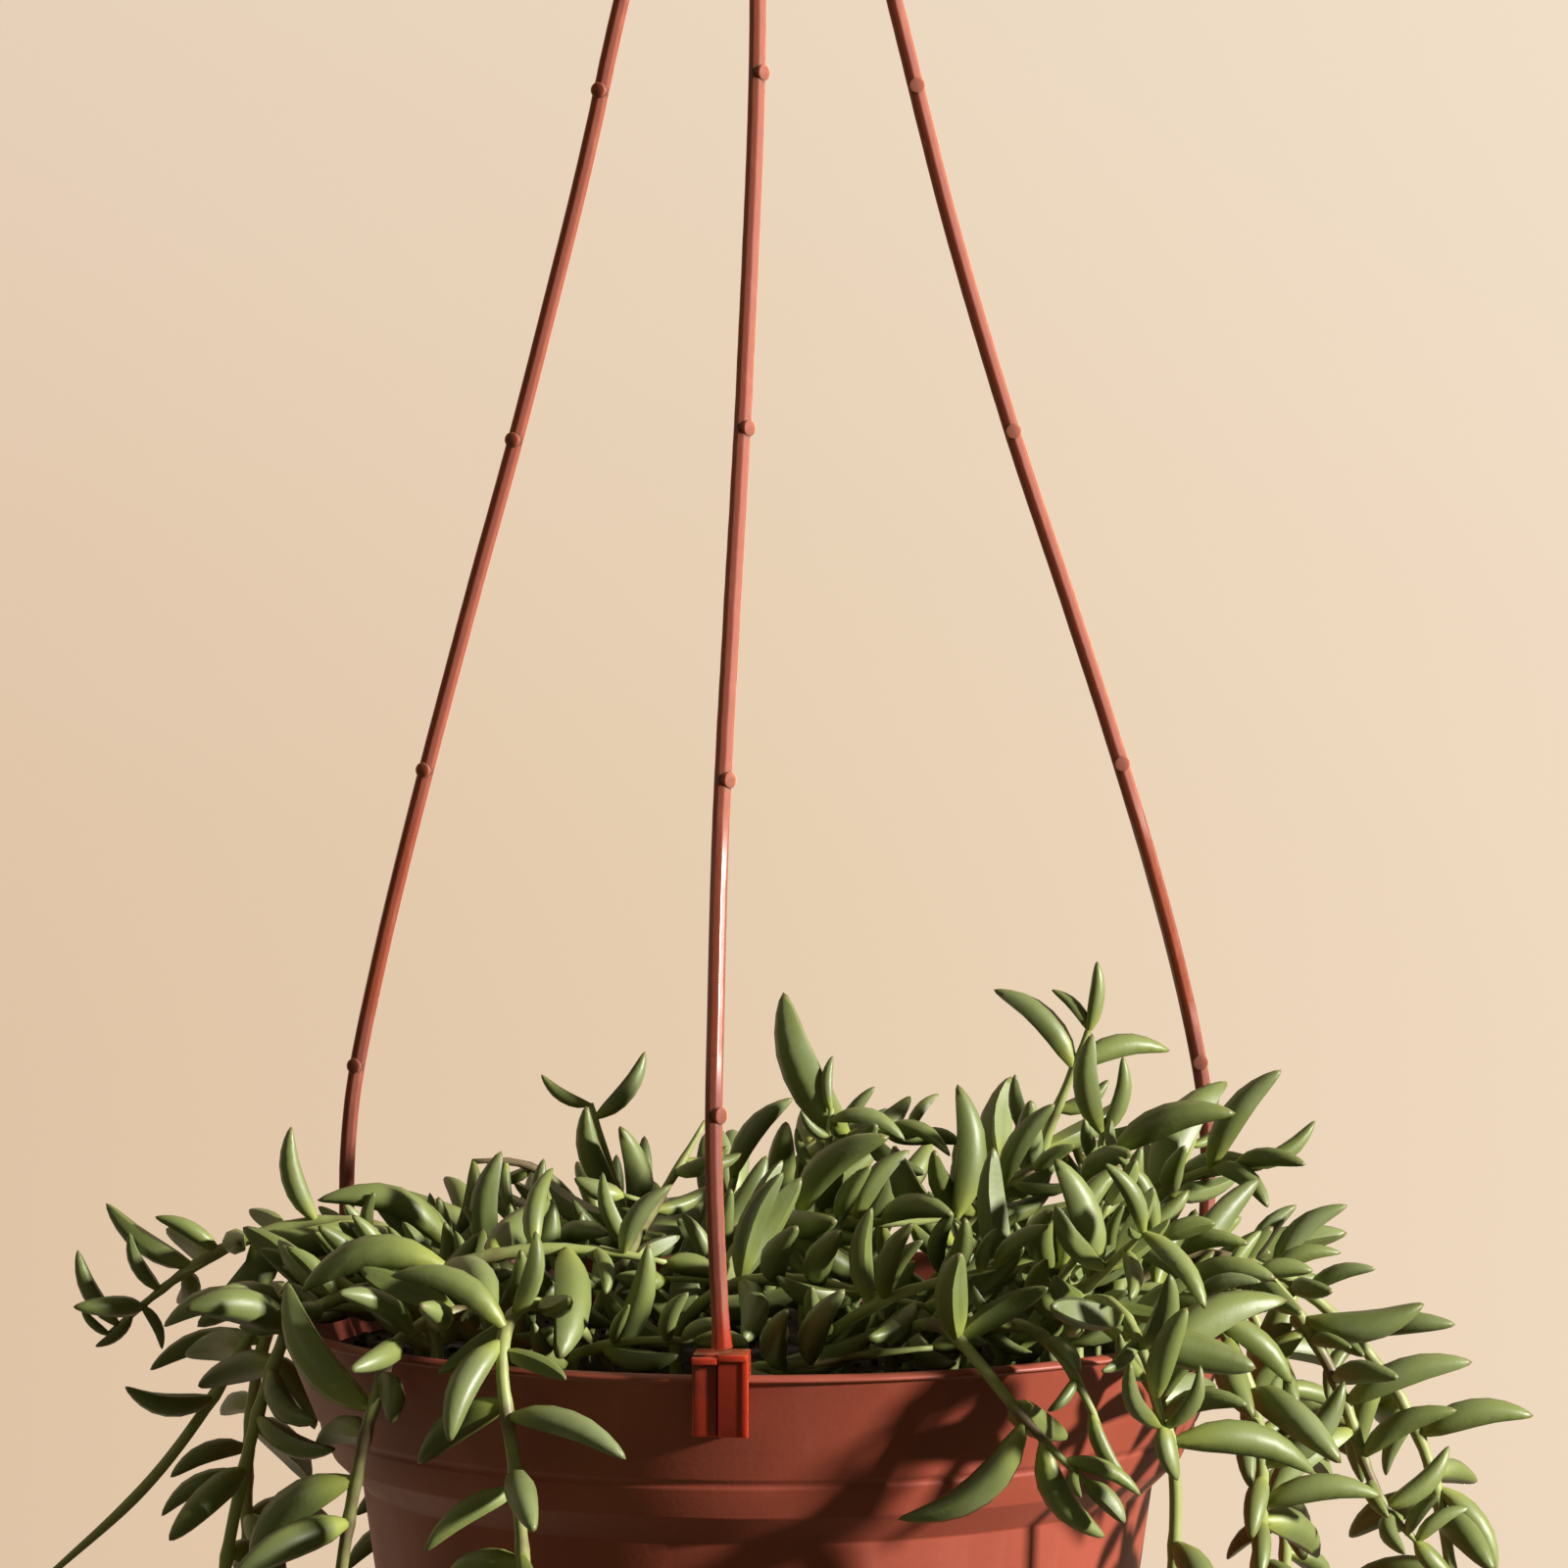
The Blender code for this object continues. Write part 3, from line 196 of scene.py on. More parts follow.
def eased(profile, ease):
    """A profile with each of its corners rounded off, by less where its sides are short."""
    points = [Vector(point) for point in profile]
    soft = [points[0]]
    for before, corner, after in zip(points, points[1:], points[2:]):
        start, end = (corner.lerp(side, min(EASE_SHARE, ease / (side - corner).length))
                      for side in (before, after))
        soft += [start.lerp(corner, t).lerp(corner.lerp(end, t), t) for t in EASE_PARTS]
    return soft + [points[-1]]


def spun(shape, profile, steps):
    """A closed shell turned round the pot's axis from (radius, height) points."""
    spots = [shape.verts.new(in_frame((r, 0, z))) for r, z in profile]
    line = [shape.edges.new(pair) for pair in zip(spots, spots[1:])]
    bmesh.ops.spin(shape, geom=spots + line, cent=(0, 0, 0), axis=(0, 0, 1), dvec=(0, 0, 0),
                   angle=math.tau, steps=steps, use_merge=True, use_duplicate=False)
    bmesh.ops.remove_doubles(shape, verts=shape.verts, dist=MM * MERGE)
    bmesh.ops.recalc_face_normals(shape, faces=shape.faces)


def new_piece(name, shape, *materials):
    """A finished piece at the origin, from a shape that is already in its place."""
    mesh = bpy.data.meshes.new(name)
    shape.to_mesh(mesh)
    shape.free()
    for material in materials:
        mesh.materials.append(material)
    piece = bpy.data.objects.new(name, mesh)
    bpy.context.scene.collection.objects.link(piece)
    return piece


def smooth_but_sharp(piece):
    piece.data.shade_smooth()
    piece.data.set_sharp_from_angle(angle=SHARP)


def collar_radius(drop):
    """Outer radius of the flared collar at a drop below the rim, curling in at its foot."""
    flare = RIM_RADIUS - LIP_STANDS_OUT - COLLAR_FLARE * drop
    curl = max(0.0, drop - CURL_DROP) / (COLLAR_HEIGHT - CURL_DROP)
    return flare - CURL_DEPTH * curl ** 2


def body_radius(drop):
    return BODY_TOP_RADIUS - BODY_SLOPE * (drop - COLLAR_HEIGHT)


lip = [(RIM_RADIUS - 2 * LIP_ROUND, 0.0), (RIM_RADIUS, -LIP_ROUND),
       (RIM_RADIUS, -LIP_DROP + LIP_ROUND / 2), (collar_radius(LIP_DROP), -LIP_DROP)]
mouth = GROOVE_HALF + GROOVE_EDGE
groove = [(collar_radius(GROOVE_DROP + drop) - inset, -GROOVE_DROP - drop)
          for drop, inset in ((-mouth, 0.0), (-GROOVE_HALF, GROOVE_DEPTH),
                              (GROOVE_HALF, GROOVE_DEPTH), (mouth, 0.0))]
slope = [(RIM_RADIUS - LIP_ROUND - COLLAR_FLARE * SLOPE_DROP, -SLOPE_DROP),
         (body_radius(BODY_DROP), -BODY_DROP)]
foot = [(body_radius(POT_HEIGHT - FOOT_ROUND), -POT_HEIGHT + FOOT_ROUND),
        (body_radius(POT_HEIGHT) - FOOT_ROUND, -POT_HEIGHT)]
floor = -POT_HEIGHT + FLOOR_LIFT + POT_WALL
inner = [(0.0, floor), (body_radius(-floor) - POT_WALL, floor),
         (body_radius(COLLAR_HEIGHT) - POT_WALL, -COLLAR_HEIGHT),
         (collar_radius(CURL_DROP) - POT_WALL - CURL_THICKER, -CURL_DROP),
         (collar_radius(LIP_HEIGHT) - POT_WALL, -LIP_HEIGHT), (RIM_RADIUS - LIP_WIDTH, 0.0)]
under = [(body_radius(POT_HEIGHT) - FOOT_WIDTH, -POT_HEIGHT),
         (body_radius(POT_HEIGHT) - FOOT_WIDTH - FOOT_DRAFT, floor - POT_WALL),
         (0.0, floor - POT_WALL)]
shape = bmesh.new()
spun(shape, eased(inner + lip + groove + slope + foot + under, POT_EASE), POT_STEPS)
drill = bmesh.new()
for turn in range(DRAIN_HOLES):
    angle = math.tau * (turn + 0.5) / DRAIN_HOLES
    spot = (DRAIN_RING * math.cos(angle), DRAIN_RING * math.sin(angle), -POT_HEIGHT)
    bmesh.ops.create_cone(drill, cap_ends=True, segments=DRAIN_SIDES, radius1=DRAIN_RADIUS * MM,
                          radius2=DRAIN_RADIUS * MM, depth=DRILL_DEPTH * MM,
                          matrix=Matrix.Translation(in_frame(spot)))

terracotta, shader, place = new_finish("terracotta_plastic", Specular_IOR_Level=0.4)
mottle = place.grain(42.0, 3.0)
fine = place.grain(1100.0, 2.0)
rings = place.stretched(3.0, 3.0, 620.0).grain(1.0, 2.0)
streaks = place.stretched(190.0, 190.0, 9.0).grain(1.0, 3.0).rise(0.52, 0.74)
lip_wear = (place.part("Z") + RIM_DROP * MM).rise(-1.8 * MM, -0.2 * MM) * place.grain(160.0, 3.0)
colour = mottle.rise(0.3, 0.7).between(TERRACOTTA_DARK, TERRACOTTA)
colour = (streaks * 0.16 + lip_wear * 0.5 + fine * 0.06).between(colour, TERRACOTTA_WORN)
colour.feeds(shader["Base Color"])
(0.44 + mottle * 0.12 + streaks * 0.06).feeds(shader["Roughness"])
(fine * 0.6 + rings * 0.8).relief(0.035 * MM).feeds(shader["Normal"])

pot_shell = new_piece("pot_shell", shape, terracotta)
drill = new_piece("drain_drill", drill)
cut = pot_shell.modifiers.new("Drain", "BOOLEAN")
cut.operation = "DIFFERENCE"
cut.object = drill
bpy.context.view_layer.update()
drilled = bpy.data.meshes.new_from_object(pot_shell.evaluated_get(bpy.context.evaluated_depsgraph_get()))
pot_shell.modifiers.clear()
pot_shell.data = drilled
bpy.data.objects.remove(drill)
smooth_but_sharp(pot_shell)
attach(pot_shell, "root")
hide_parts("pot")

# The hanger: hook, hub, three bars and a clip at the foot of each, injection-moulded in one piece of
# a redder, glossier plastic. Round pads stand on the bars where the mould's pins push it out. Each
# clip hooks over the pot's rim: a plate outside, a bridge over the lip and a tongue inside.
LEG_TURNS = (-4.0, 112.0, -120.0)  # degrees round from the front
LEG_RIDGES = (15.0, 5.0, -12.0)  # the way that a ridge of each leg faces, the same way round
NUB_WAYS = (48.0, 8.0, -22.0)  # and the way that its pads face
LEG_CORNER = 1.48  # from the middle of an eight-sided bar to its corners
LEG_CORNERS = 8
CORNER_TURNS = (-9.0, -3.5, 3.5, 9.0)  # degrees to the points round each eased corner
LEG_STEP = 3.0
FINE_STEP = 0.5  # between the points on which the pads find their places
BEND_STEP = 2.0
CURVE_PARTS = 24  # of a smooth curve, between two points of its route
LEG_FOOT = 0.55  # how much thicker the bar gets where it stands on its clip
LEG_FOOT_HEIGHT = 7.0
# How far each leg has bent from the others' shape: (outwards, sideways, height).
LEG_BENDS = (
    [(0, 0.6, 0), (0, -1.0, 35), (0, -1.1, 60), (0, -0.9, 90), (0, 0.1, 125), (0, 1.3, 165),
     (0, 2.2, 215), (0, 1.1, 264), (0, 0, 312)],
    [(0.2, 0, 0), (1.1, 0, 45), (0, 0, 95), (-1.3, 0, 150), (-2.4, 0, 190), (-1.8, 0, 225),
     (-0.8, 0, 264), (0, 0, 312)],
    [(-0.2, 0, 0), (-0.9, 0, 35), (-1.6, 0, 90), (-0.7, 0, 150), (-0.8, 0, 200), (0.2, 0, 235),
     (0, 0, 312)])
LEG_LINE = [(87.3, 2.0), (87.7, 12.0), (87.6, 24.0), (85.7, 39.0), (79.2, 66.0), (70.9, 94.0),
            (60.9, 124.0), (50.7, 153.6), (41.2, 185.0), (32.0, 216.0), (17.6, 264.0), (3.2, 312.0)]
NUB_HEIGHTS = ((42.3, 95.6, 153.4, 213.8, 274.0), (40.2, 94.6, 154.4, 215.3, 275.0),
               (39.0, 93.3, 153.1, 214.8, 275.0))
NUB_WIDE = 1.38
NUB_REACH = 1.8  # from the middle of the bar to the face of the pad
NUB_SIDES = 24
NUB_EASE = 0.16
NUB_EDGE = math.radians(60)  # edges that turn by more than this are eased
CLIP_GAP = 0.3  # between the clip and the rim
CLIP_HALF = 4.6
CLIP_DROP = 9.6
CLIP_TOP = 3.7
CLIP_PLATE_TOP = 2.7
CLIP_LEDGES = ((2.2, 3.4), (2.7, 3.9))  # heights of the left one and the right one
CLIP_PLATE = 1.6
CLIP_TONGUE = 5.0
CLIP_INSIDE_GAP = 0.75
CLIP_BRIDGE_HALF = 4.45
CLIP_BRIDGE_FOOT = 3.0  # how far the bridge runs down behind the plate
CLIP_BRIDGE_BACK = 1.0  # and how far it stays behind the plate's face
CLIP_SPLIT = -0.3  # where the raised half of its plate starts, across it
CLIP_RAISED = 0.7
CLIP_CORNER = ((-4.6, 0.45), (-4.2, 0.15), (-3.3, 0.0))  # of its lower half: (across, deep)
CLIP_GROOVE = ((0.35, 0.0), (0.2, 0.3), (0.0, 0.3))  # beside its raised half: (away, deep)
CLIP_FLANGE = 1.0
CLIP_FLANGE_REACH = 0.35
CLIP_LEDGE = 0.75  # how far its ledges stand out
CLIP_RIB_HALF = 3.6  # of the rib behind its plate, which rests against the collar
CLIP_RIB_SHORT = 0.2  # how far the rib ends above the plate's foot
CLIP_INTO = 0.1  # how far its parts run into each other
CLIP_EASES = {"bridge": 0.2, "rib": 0.1, "plate": 0.14, "ledge": 0.3}
CLIP_EDGE = math.radians(20)  # and than this on the clip
HUB_PROFILE = [(0.0, 318.5), (2.6, 318.0), (4.4, 316.0), (6.2, 313.5), (6.5, 310.0), (5.6, 307.0),
               (3.0, 306.2), (0.0, 306.0)]
HUB_EASE = 0.8
HUB_STEPS = 48
HOOK_BAR = 2.15
HOOK_INSIDE = 9.0
HOOK_NECK = [(0.0, 314.0), (0.0, 318.0), (-1.2, 321.5), (-9.0, 327.5)]
HOOK_START = 188.0  # degrees
HOOK_TURN = 205.0
HOOK_STEPS = 18
HOOK_STEP = 0.9
HOOK_SIDES = 16
HOOK_END = (11.8, 328.0)
ROUND_LEAST = 0.02  # of a rounded end's square, at its last ring
RED_PLASTIC = (0.300, 0.029, 0.011)
RED_DEEP = (0.250, 0.023, 0.009)
RED_PALE = (0.330, 0.110, 0.070)
# Painted sheen: the bars' paler, less red colour stands for the bright backdrop's sheen on them.
RED_BAR_SHEEN = (0.228, 0.058, 0.030)
# Painted shade: the lower part of each bar is painted this darker red.
RED_FOOT_SHADE = (0.165, 0.039, 0.019)
RED_DULL_HEIGHT = 12.0  # from about here up the bars are duller than the clips, and painted a paler, less red colour that stands for sheen
# Heights above that over which the bars change: the start of a bar, the end of the painted shade on its
# lower part, and the start and the end of the stretch that handling has left glossier.
BAR_START = (-8 * MM, 8 * MM)
FOOT_SHADE_END = (44 * MM, 28 * MM)
GLOSS_FROM = (42 * MM, 32 * MM)
GLOSS_TO = (66 * MM, 80 * MM)
UP = Vector((0, 0, 1))


def turn_frame(degrees):
    """The outward and sideways directions at a turn from the front."""
    angle = math.radians(degrees)
    return Vector((math.sin(angle), -math.cos(angle), 0)), Vector((math.cos(angle), math.sin(angle), 0))


def smooth_route(points, step):
    """Points at even steps along one smooth curve through a route's own points."""
    knots = [Vector(point) for point in points]
    knots = [knots[0] * 2 - knots[1]] + knots + [knots[-1] * 2 - knots[-2]]
    fine = []
    for a, b, c, d in zip(knots, knots[1:], knots[2:], knots[3:]):
        for t in (i / CURVE_PARTS for i in range(CURVE_PARTS)):
            fine.append((b * 2 + (c - a) * t + (a * 2 - b * 5 + c * 4 - d) * t ** 2
                         + (b * 3 - a - c * 3 + d) * t ** 3) * 0.5)
    fine.append(knots[-2])
    length = sum((two - one).length for one, two in zip(fine, fine[1:]))
    count = max(2, round(length / step))
    even = [fine[0]]
    walked = 0.0
    for one, two in zip(fine, fine[1:]):
        span = (two - one).length
        while len(even) < count and walked + span >= length * len(even) / count:
            even.append(one.lerp(two, (length * len(even) / count - walked) / span))
        walked += span
    even.append(fine[-1])
    return even


def leg_points(degrees, step):
    """Even points up one leg of the hanger, from its clip to the hub."""
    line = smooth_route([(r, 0, z) for r, z in LEG_LINE], step)
    out, _ = turn_frame(degrees)
    return [out * point.x + Vector((0, 0, point.z)) for point in line]


def bent_leg(degrees, bends, step):
    """The line of one leg with its own bend."""
    out, sideways = turn_frame(degrees)
    bends = smooth_route(bends, BEND_STEP)
    line = []
    for point in leg_points(degrees, step):
        bend = min(bends, key=lambda spot: abs(spot.z - point.z))
        line.append(point + out * bend.x + sideways * bend.y)
    return line


def new_ball(shape, around, rings):
    """The points of a ball to be drawn out, each with its ring from the foot up and its angle."""
    made = bmesh.ops.create_uvsphere(shape, u_segments=around, v_segments=rings, radius=1.0)["verts"]
    return [(vert, round(math.acos(max(-1.0, min(1.0, -vert.co.z))) / math.pi * rings),
             math.atan2(vert.co.y, vert.co.x)) for vert in made]


def drawn_along(shape, line, hint, girths, sides, corners=0):
    """A ball drawn out into a closed bar along a line, thick as its girths say. It is round, or
    has flats between eased corners, one of which points to the hint."""
    rings = len(line) + 1
    frames = []
    side = hint
    for i, point in enumerate(line):
        along = (line[min(i + 1, len(line) - 1)] - line[max(i - 1, 0)]).normalized()
        side = (side - along * side.dot(along)).normalized()
        frames.append((side, along.cross(side)))
    ball = new_ball(shape, sides, rings)
    for vert, ring, angle in ball:
        at = min(len(line), max(1, ring)) - 1
        reach = girths[at] if 0 < ring < rings else 0.0
        if corners:
            corner, turn = divmod(round(angle / math.tau * sides), len(CORNER_TURNS))
            turn = math.radians(CORNER_TURNS[turn])
            angle = math.tau * corner / corners + turn
            reach *= math.cos(math.pi / corners) / math.cos(math.pi / corners - abs(turn))
        vert.co = in_frame(line[at] + (frames[at][0] * math.cos(angle)
                                       + frames[at][1] * math.sin(angle)) * reach)
    return [vert for vert, _, _ in ball]


def rounded(shape, sharp, offset):
    """Ease the edges of a shape that turn by more than an angle."""
    edges = [edge for edge in shape.edges if edge.is_manifold and edge.calc_face_angle() > sharp]
    bmesh.ops.bevel(shape, geom=edges, offset=offset * MM, segments=2, profile=0.5,
                    affect="EDGES", material=-1, clamp_overlap=True)


def join(shape, whole):
    """Make a finished shape part of a larger one."""
    held = bpy.data.meshes.new("held")
    shape.to_mesh(held)
    shape.free()
    whole.from_mesh(held)
    bpy.data.meshes.remove(held)


def block(whole, corners, way, ease):
    """A flat outline drawn out along a way into a solid with eased edges, joined to the whole."""
    solid = bmesh.new()
    flat = solid.faces.new([solid.verts.new(in_frame(corner)) for corner in corners])
    drawn = bmesh.ops.extrude_face_region(solid, geom=[flat])["geom"]
    bmesh.ops.translate(solid, vec=way * MM,
                        verts=[part for part in drawn if isinstance(part, bmesh.types.BMVert)])
    bmesh.ops.recalc_face_normals(solid, faces=solid.faces)
    rounded(solid, CLIP_EDGE, CLIP_EASES[ease])
    join(solid, whole)


def add_clip(whole, degrees):
    """The clip at the foot of a leg."""
    out, across = turn_frame(degrees)
    near = RIM_RADIUS + CLIP_GAP
    face = near + CLIP_PLATE
    inside = collar_radius(CLIP_TONGUE) - POT_WALL - CLIP_INSIDE_GAP
    back, foot = face - CLIP_BRIDGE_BACK, -CLIP_BRIDGE_FOOT
    bridge = [(near, foot), (back, foot), (back, CLIP_TOP), (inside - CLIP_PLATE, CLIP_TOP),
              (inside - CLIP_PLATE, -CLIP_TONGUE), (inside, -CLIP_TONGUE), (inside, CLIP_GAP),
              (near, CLIP_GAP)]
    top, foot = -LIP_HEIGHT - CLIP_GAP, -CLIP_DROP + CLIP_RIB_SHORT
    rib = [(near + CLIP_INTO, top), (near + CLIP_INTO, foot),
           (collar_radius(CLIP_DROP) + CLIP_GAP, foot), (collar_radius(LIP_HEIGHT) + CLIP_GAP, top)]
    for name, section, half in (("bridge", bridge, CLIP_BRIDGE_HALF), ("rib", rib, CLIP_RIB_HALF)):
        block(whole, [out * r + UP * z - across * half for r, z in section], across * 2 * half, name)
    low, edge = face - CLIP_RAISED, face + CLIP_FLANGE_REACH
    split, flange = CLIP_SPLIT, CLIP_HALF - CLIP_FLANGE
    plan = [(-CLIP_HALF, near)] + [(side, low - deep) for side, deep in CLIP_CORNER]
    plan += [(split - away, low - deep) for away, deep in CLIP_GROOVE]
    plan += [(split, face), (flange, face), (flange, edge), (CLIP_HALF, edge), (CLIP_HALF, near)]
    block(whole, [out * r + across * s - UP * CLIP_DROP for s, r in plan],
          UP * (CLIP_DROP + CLIP_PLATE_TOP), "plate")
    edge = face + CLIP_LEDGE
    middle = split - CLIP_INTO
    for start, end, (foot, top) in zip((-CLIP_HALF, middle), (middle, CLIP_HALF), CLIP_LEDGES):
        ledge = [(near, foot), (edge, foot), (edge, top), (near, top)]
        block(whole, [out * r + UP * z + across * start for r, z in ledge],
              across * (end - start), "ledge")


def round_end(line, radius):
    """Girths for a bar of one thickness whose last end is rounded off."""
    walked = [0.0]
    for one, two in zip(line[::-1], line[-2::-1]):
        walked.append(walked[-1] + (two - one).length)
    return [radius * math.sqrt(max(ROUND_LEAST, 1 - max(0.0, 1 - far / radius) ** 2))
            for far in walked[::-1]]


shape = bmesh.new()
for degrees, bends, ridge, facing, heights in zip(LEG_TURNS, LEG_BENDS, LEG_RIDGES, NUB_WAYS,
                                                  NUB_HEIGHTS):
    line = [point for point in bent_leg(degrees, bends, LEG_STEP) if point.z > CLIP_PLATE_TOP]
    fine_line = bent_leg(degrees, bends, FINE_STEP)
    way, _ = turn_frame(facing)
    girths = [LEG_CORNER + LEG_FOOT * max(0.0, 1 - (point.z - CLIP_TOP) / LEG_FOOT_HEIGHT) ** 2
              for point in line]
    drawn_along(shape, line, turn_frame(ridge)[0], girths, LEG_CORNERS * len(CORNER_TURNS),
                LEG_CORNERS)
    for height in heights:
        spot = min(fine_line, key=lambda point: abs(point.z - height))
        pad = bmesh.new()
        bmesh.ops.create_cone(pad, cap_ends=True, segments=NUB_SIDES, radius1=NUB_WIDE * MM,
                              radius2=NUB_WIDE * MM, depth=NUB_REACH * MM)
        rounded(pad, NUB_EDGE, NUB_EASE)
        turned = way.to_track_quat("Z", "Y").to_matrix().to_4x4()
        middle = Matrix.Translation(in_frame(spot + way * NUB_REACH / 2))
        bmesh.ops.transform(pad, matrix=middle @ turned, verts=pad.verts)
        join(pad, shape)
    add_clip(shape, degrees)
hub = bmesh.new()
spun(hub, eased(HUB_PROFILE, HUB_EASE), HUB_STEPS)
join(hub, shape)
ring = HOOK_INSIDE + HOOK_BAR
arc = [(ring * math.cos(angle), 0, RIM_DROP - HOOK_INSIDE + ring * math.sin(angle))
       for angle in (math.radians(HOOK_START - HOOK_TURN * i / HOOK_STEPS)
                     for i in range(HOOK_STEPS + 1))]
route = [(x, 0, z) for x, z in HOOK_NECK] + arc + [(HOOK_END[0], 0, HOOK_END[1])]
line = smooth_route(route, HOOK_STEP)
drawn_along(shape, line, Vector((0, 1, 0)), round_end(line, HOOK_BAR), HOOK_SIDES)

red, shader, place = new_finish("hanger_plastic", Specular_IOR_Level=0.42, Subsurface_Weight=0.85,
                                Subsurface_Radius=(1.0, 0.6, 0.4), Subsurface_Scale=3.5 * MM)
cloud = place.grain(70.0, 3.0)
fine = place.grain(900.0, 2.0)
colour = cloud.rise(0.32, 0.68).between(RED_DEEP, RED_PLASTIC)
height = place.part("Z") + (RIM_DROP - RED_DULL_HEIGHT) * MM
bar = height.rise(*BAR_START)
# Painted sheen: up the bars the red is painted paler and less red.
colour = bar.between(colour, RED_BAR_SHEEN)
# Painted shade: the lower part of each bar is painted darker.
colour = (bar * height.rise(*FOOT_SHADE_END)).between(colour, RED_FOOT_SHADE)
scuffs = place.stretched(1.0, 1.0, 0.25).grain(420.0, 2.0).rise(0.56, 0.8)
(scuffs * 0.4).between(colour, RED_PALE).feeds(shader["Base Color"])
dull = (height.rise(*GLOSS_TO) + height.rise(*GLOSS_FROM)) * (bar * 0.52)
(0.15 + dull + cloud * 0.08).feeds(shader["Roughness"])
(fine * 0.5 + cloud * 0.5).relief(0.015 * MM).feeds(shader["Normal"])
hanger = new_piece("hanger_moulding", shape, red)
smooth_but_sharp(hanger)
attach(hanger, "root")
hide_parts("hanger")

# The potting soil: a dark, fibrous mix with bark crumbs and a few white grains of perlite, filled
# into the pot and settled by watering. The stems are rooted in it.
SOIL_DROP = 9.0
SOIL_CROWN = 2.0
SOIL_GAP = 0.5  # between the soil and the wall
SOIL_RINGS = 26
SOIL_STEPS = 96
SOIL_SWELL = 1.3  # height of its lumps
SOIL_LUMPS = ((0.07, 1.0), (0.22, 0.5))  # of each size: (lumps to a millimetre, share)
SOIL_SEED = 5
CRUMBS = 300
CRUMB_SIZE = (0.5, 1.7)
PERLITE_GRAINS = 46
PERLITE_SIZE = (0.5, 1.1)
CRUMB_FLAT = (0.5, 0.9)
CRUMB_STANDS = 0.25  # of its size, above the soil
CRUMB_INSET = 3.0  # from the soil's edge
EARTH = (0.016, 0.010, 0.006)
EARTH_PALE = (0.045, 0.028, 0.016)
PERLITE = (0.55, 0.52, 0.46)
PERLITE_DARK = (0.36, 0.32, 0.26)


def soil_top(x, y):
    """Height of the soil's surface."""
    far = math.hypot(x, y) / collar_radius(SOIL_DROP)
    lumps = sum(share * noise.noise(Vector((x, y, 9 * i)) * many)
                for i, (many, share) in enumerate(SOIL_LUMPS))
    return -SOIL_DROP + SOIL_CROWN * (1 - far ** 2) + SOIL_SWELL * (lumps * (1 - far ** 8) - 0.4)


def faces_of(verts):
    return {face for vert in verts for face in vert.link_faces}


wall = POT_WALL + SOIL_GAP
edge = collar_radius(SOIL_DROP) - wall
top = [(edge * i / SOIL_RINGS, -SOIL_DROP) for i in range(SOIL_RINGS + 1)]
side = [(collar_radius(CURL_DROP) - wall, -CURL_DROP),
        (body_radius(COLLAR_HEIGHT) - wall, -COLLAR_HEIGHT),
        (body_radius(-floor) - wall, floor + SOIL_GAP), (0.0, floor + SOIL_GAP)]
shape = bmesh.new()
spun(shape, top + side, SOIL_STEPS)
for vert in shape.verts:
    x, y = vert.co.x / MM, vert.co.y / MM
    if vert.co.z > in_frame((0, 0, -SOIL_DROP - 1)).z:
        vert.co.z = in_frame((0, 0, soil_top(x, y))).z
draw = random.Random(SOIL_SEED)
for kind, (count, sizes) in enumerate(((CRUMBS, CRUMB_SIZE), (PERLITE_GRAINS, PERLITE_SIZE))):
    for _ in range(count):
        angle, far = draw.uniform(0, math.tau), (edge - CRUMB_INSET) * math.sqrt(draw.random())
        x, y, size = far * math.cos(angle), far * math.sin(angle), draw.uniform(*sizes)
        spot = Matrix.Translation(in_frame((x, y, soil_top(x, y) + size * CRUMB_STANDS)))
        turn = draw.uniform(0, math.tau)
        turn = Matrix.Rotation(turn, 4, Vector((draw.random(), draw.random(), 1)))
        stretch = Matrix.Diagonal((1, draw.uniform(*CRUMB_FLAT), draw.uniform(*CRUMB_FLAT), 1))
        crumb = bmesh.ops.create_icosphere(shape, subdivisions=1, radius=size * MM,
                                           matrix=spot @ turn @ stretch)["verts"]
        for face in faces_of(crumb):
            face.material_index = kind

earth, shader, place = new_finish("potting_mix", Roughness=0.92, Specular_IOR_Level=0.2)
clods = place.grain(260.0, 4.0)
fibres = place.stretched(1.0, 2.6, 1.0).grain(900.0, 3.0)
(clods.rise(0.42, 0.72) * fibres).between(EARTH, EARTH_PALE).feeds(shader["Base Color"])
(clods + fibres * 0.7).relief(0.8 * MM).feeds(shader["Normal"])
perlite, shader, place = new_finish("perlite", Roughness=0.85)
specks = place.grain(1400.0, 2.0)
specks.rise(0.3, 0.8).between(PERLITE, PERLITE_DARK).feeds(shader["Base Color"])
specks.relief(0.2 * MM).feeds(shader["Normal"])
soil = new_piece("potting_soil", shape, earth, perlite)
soil.data.shade_smooth()
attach(soil, "root")
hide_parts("soil")

# The plant: string of bananas, a trailing succulent. Thick, waxy leaves like small bananas stand on
# thin stems that root in the soil, make a mat inside the rim and hang over it. Each leafy stem is
# one piece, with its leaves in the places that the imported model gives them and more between.
STEM_RADIUS = 1.05
STEM_STEP = 2.5  # between the points that a stem is worked out on
ROOT_HEIGHTS = (-19, -8)  # a stem stands upright in the soil between these
ROOT_TOP = 2.0  # and is held in its place below this
BEND_ROUNDS = 40
BEND_EASE = 0.4  # how far a bend is eased out in each round
STEM_GAP = 2.9  # least distance between the middles of two stems
STEM_WALL_GAP = 1.4  # least distance from a stem to the pot
STEM_HANGER_GAP = 0.7  # least distance from a stem to the hanger
STEM_PUSH = 0.5  # share of an overlap that each of two stems gives way
LEAF_LENGTH = (18.0, 25.0)
LEAF_WIDTH = 0.28  # of its length
LEAF_SPACING = 15.8
LEAF_LEAN = (44.0, 72.0)  # degrees away from the stem
LEAF_LIFT = 0.22  # how much it turns up
LEAF_BOW = (0.09, 0.19)
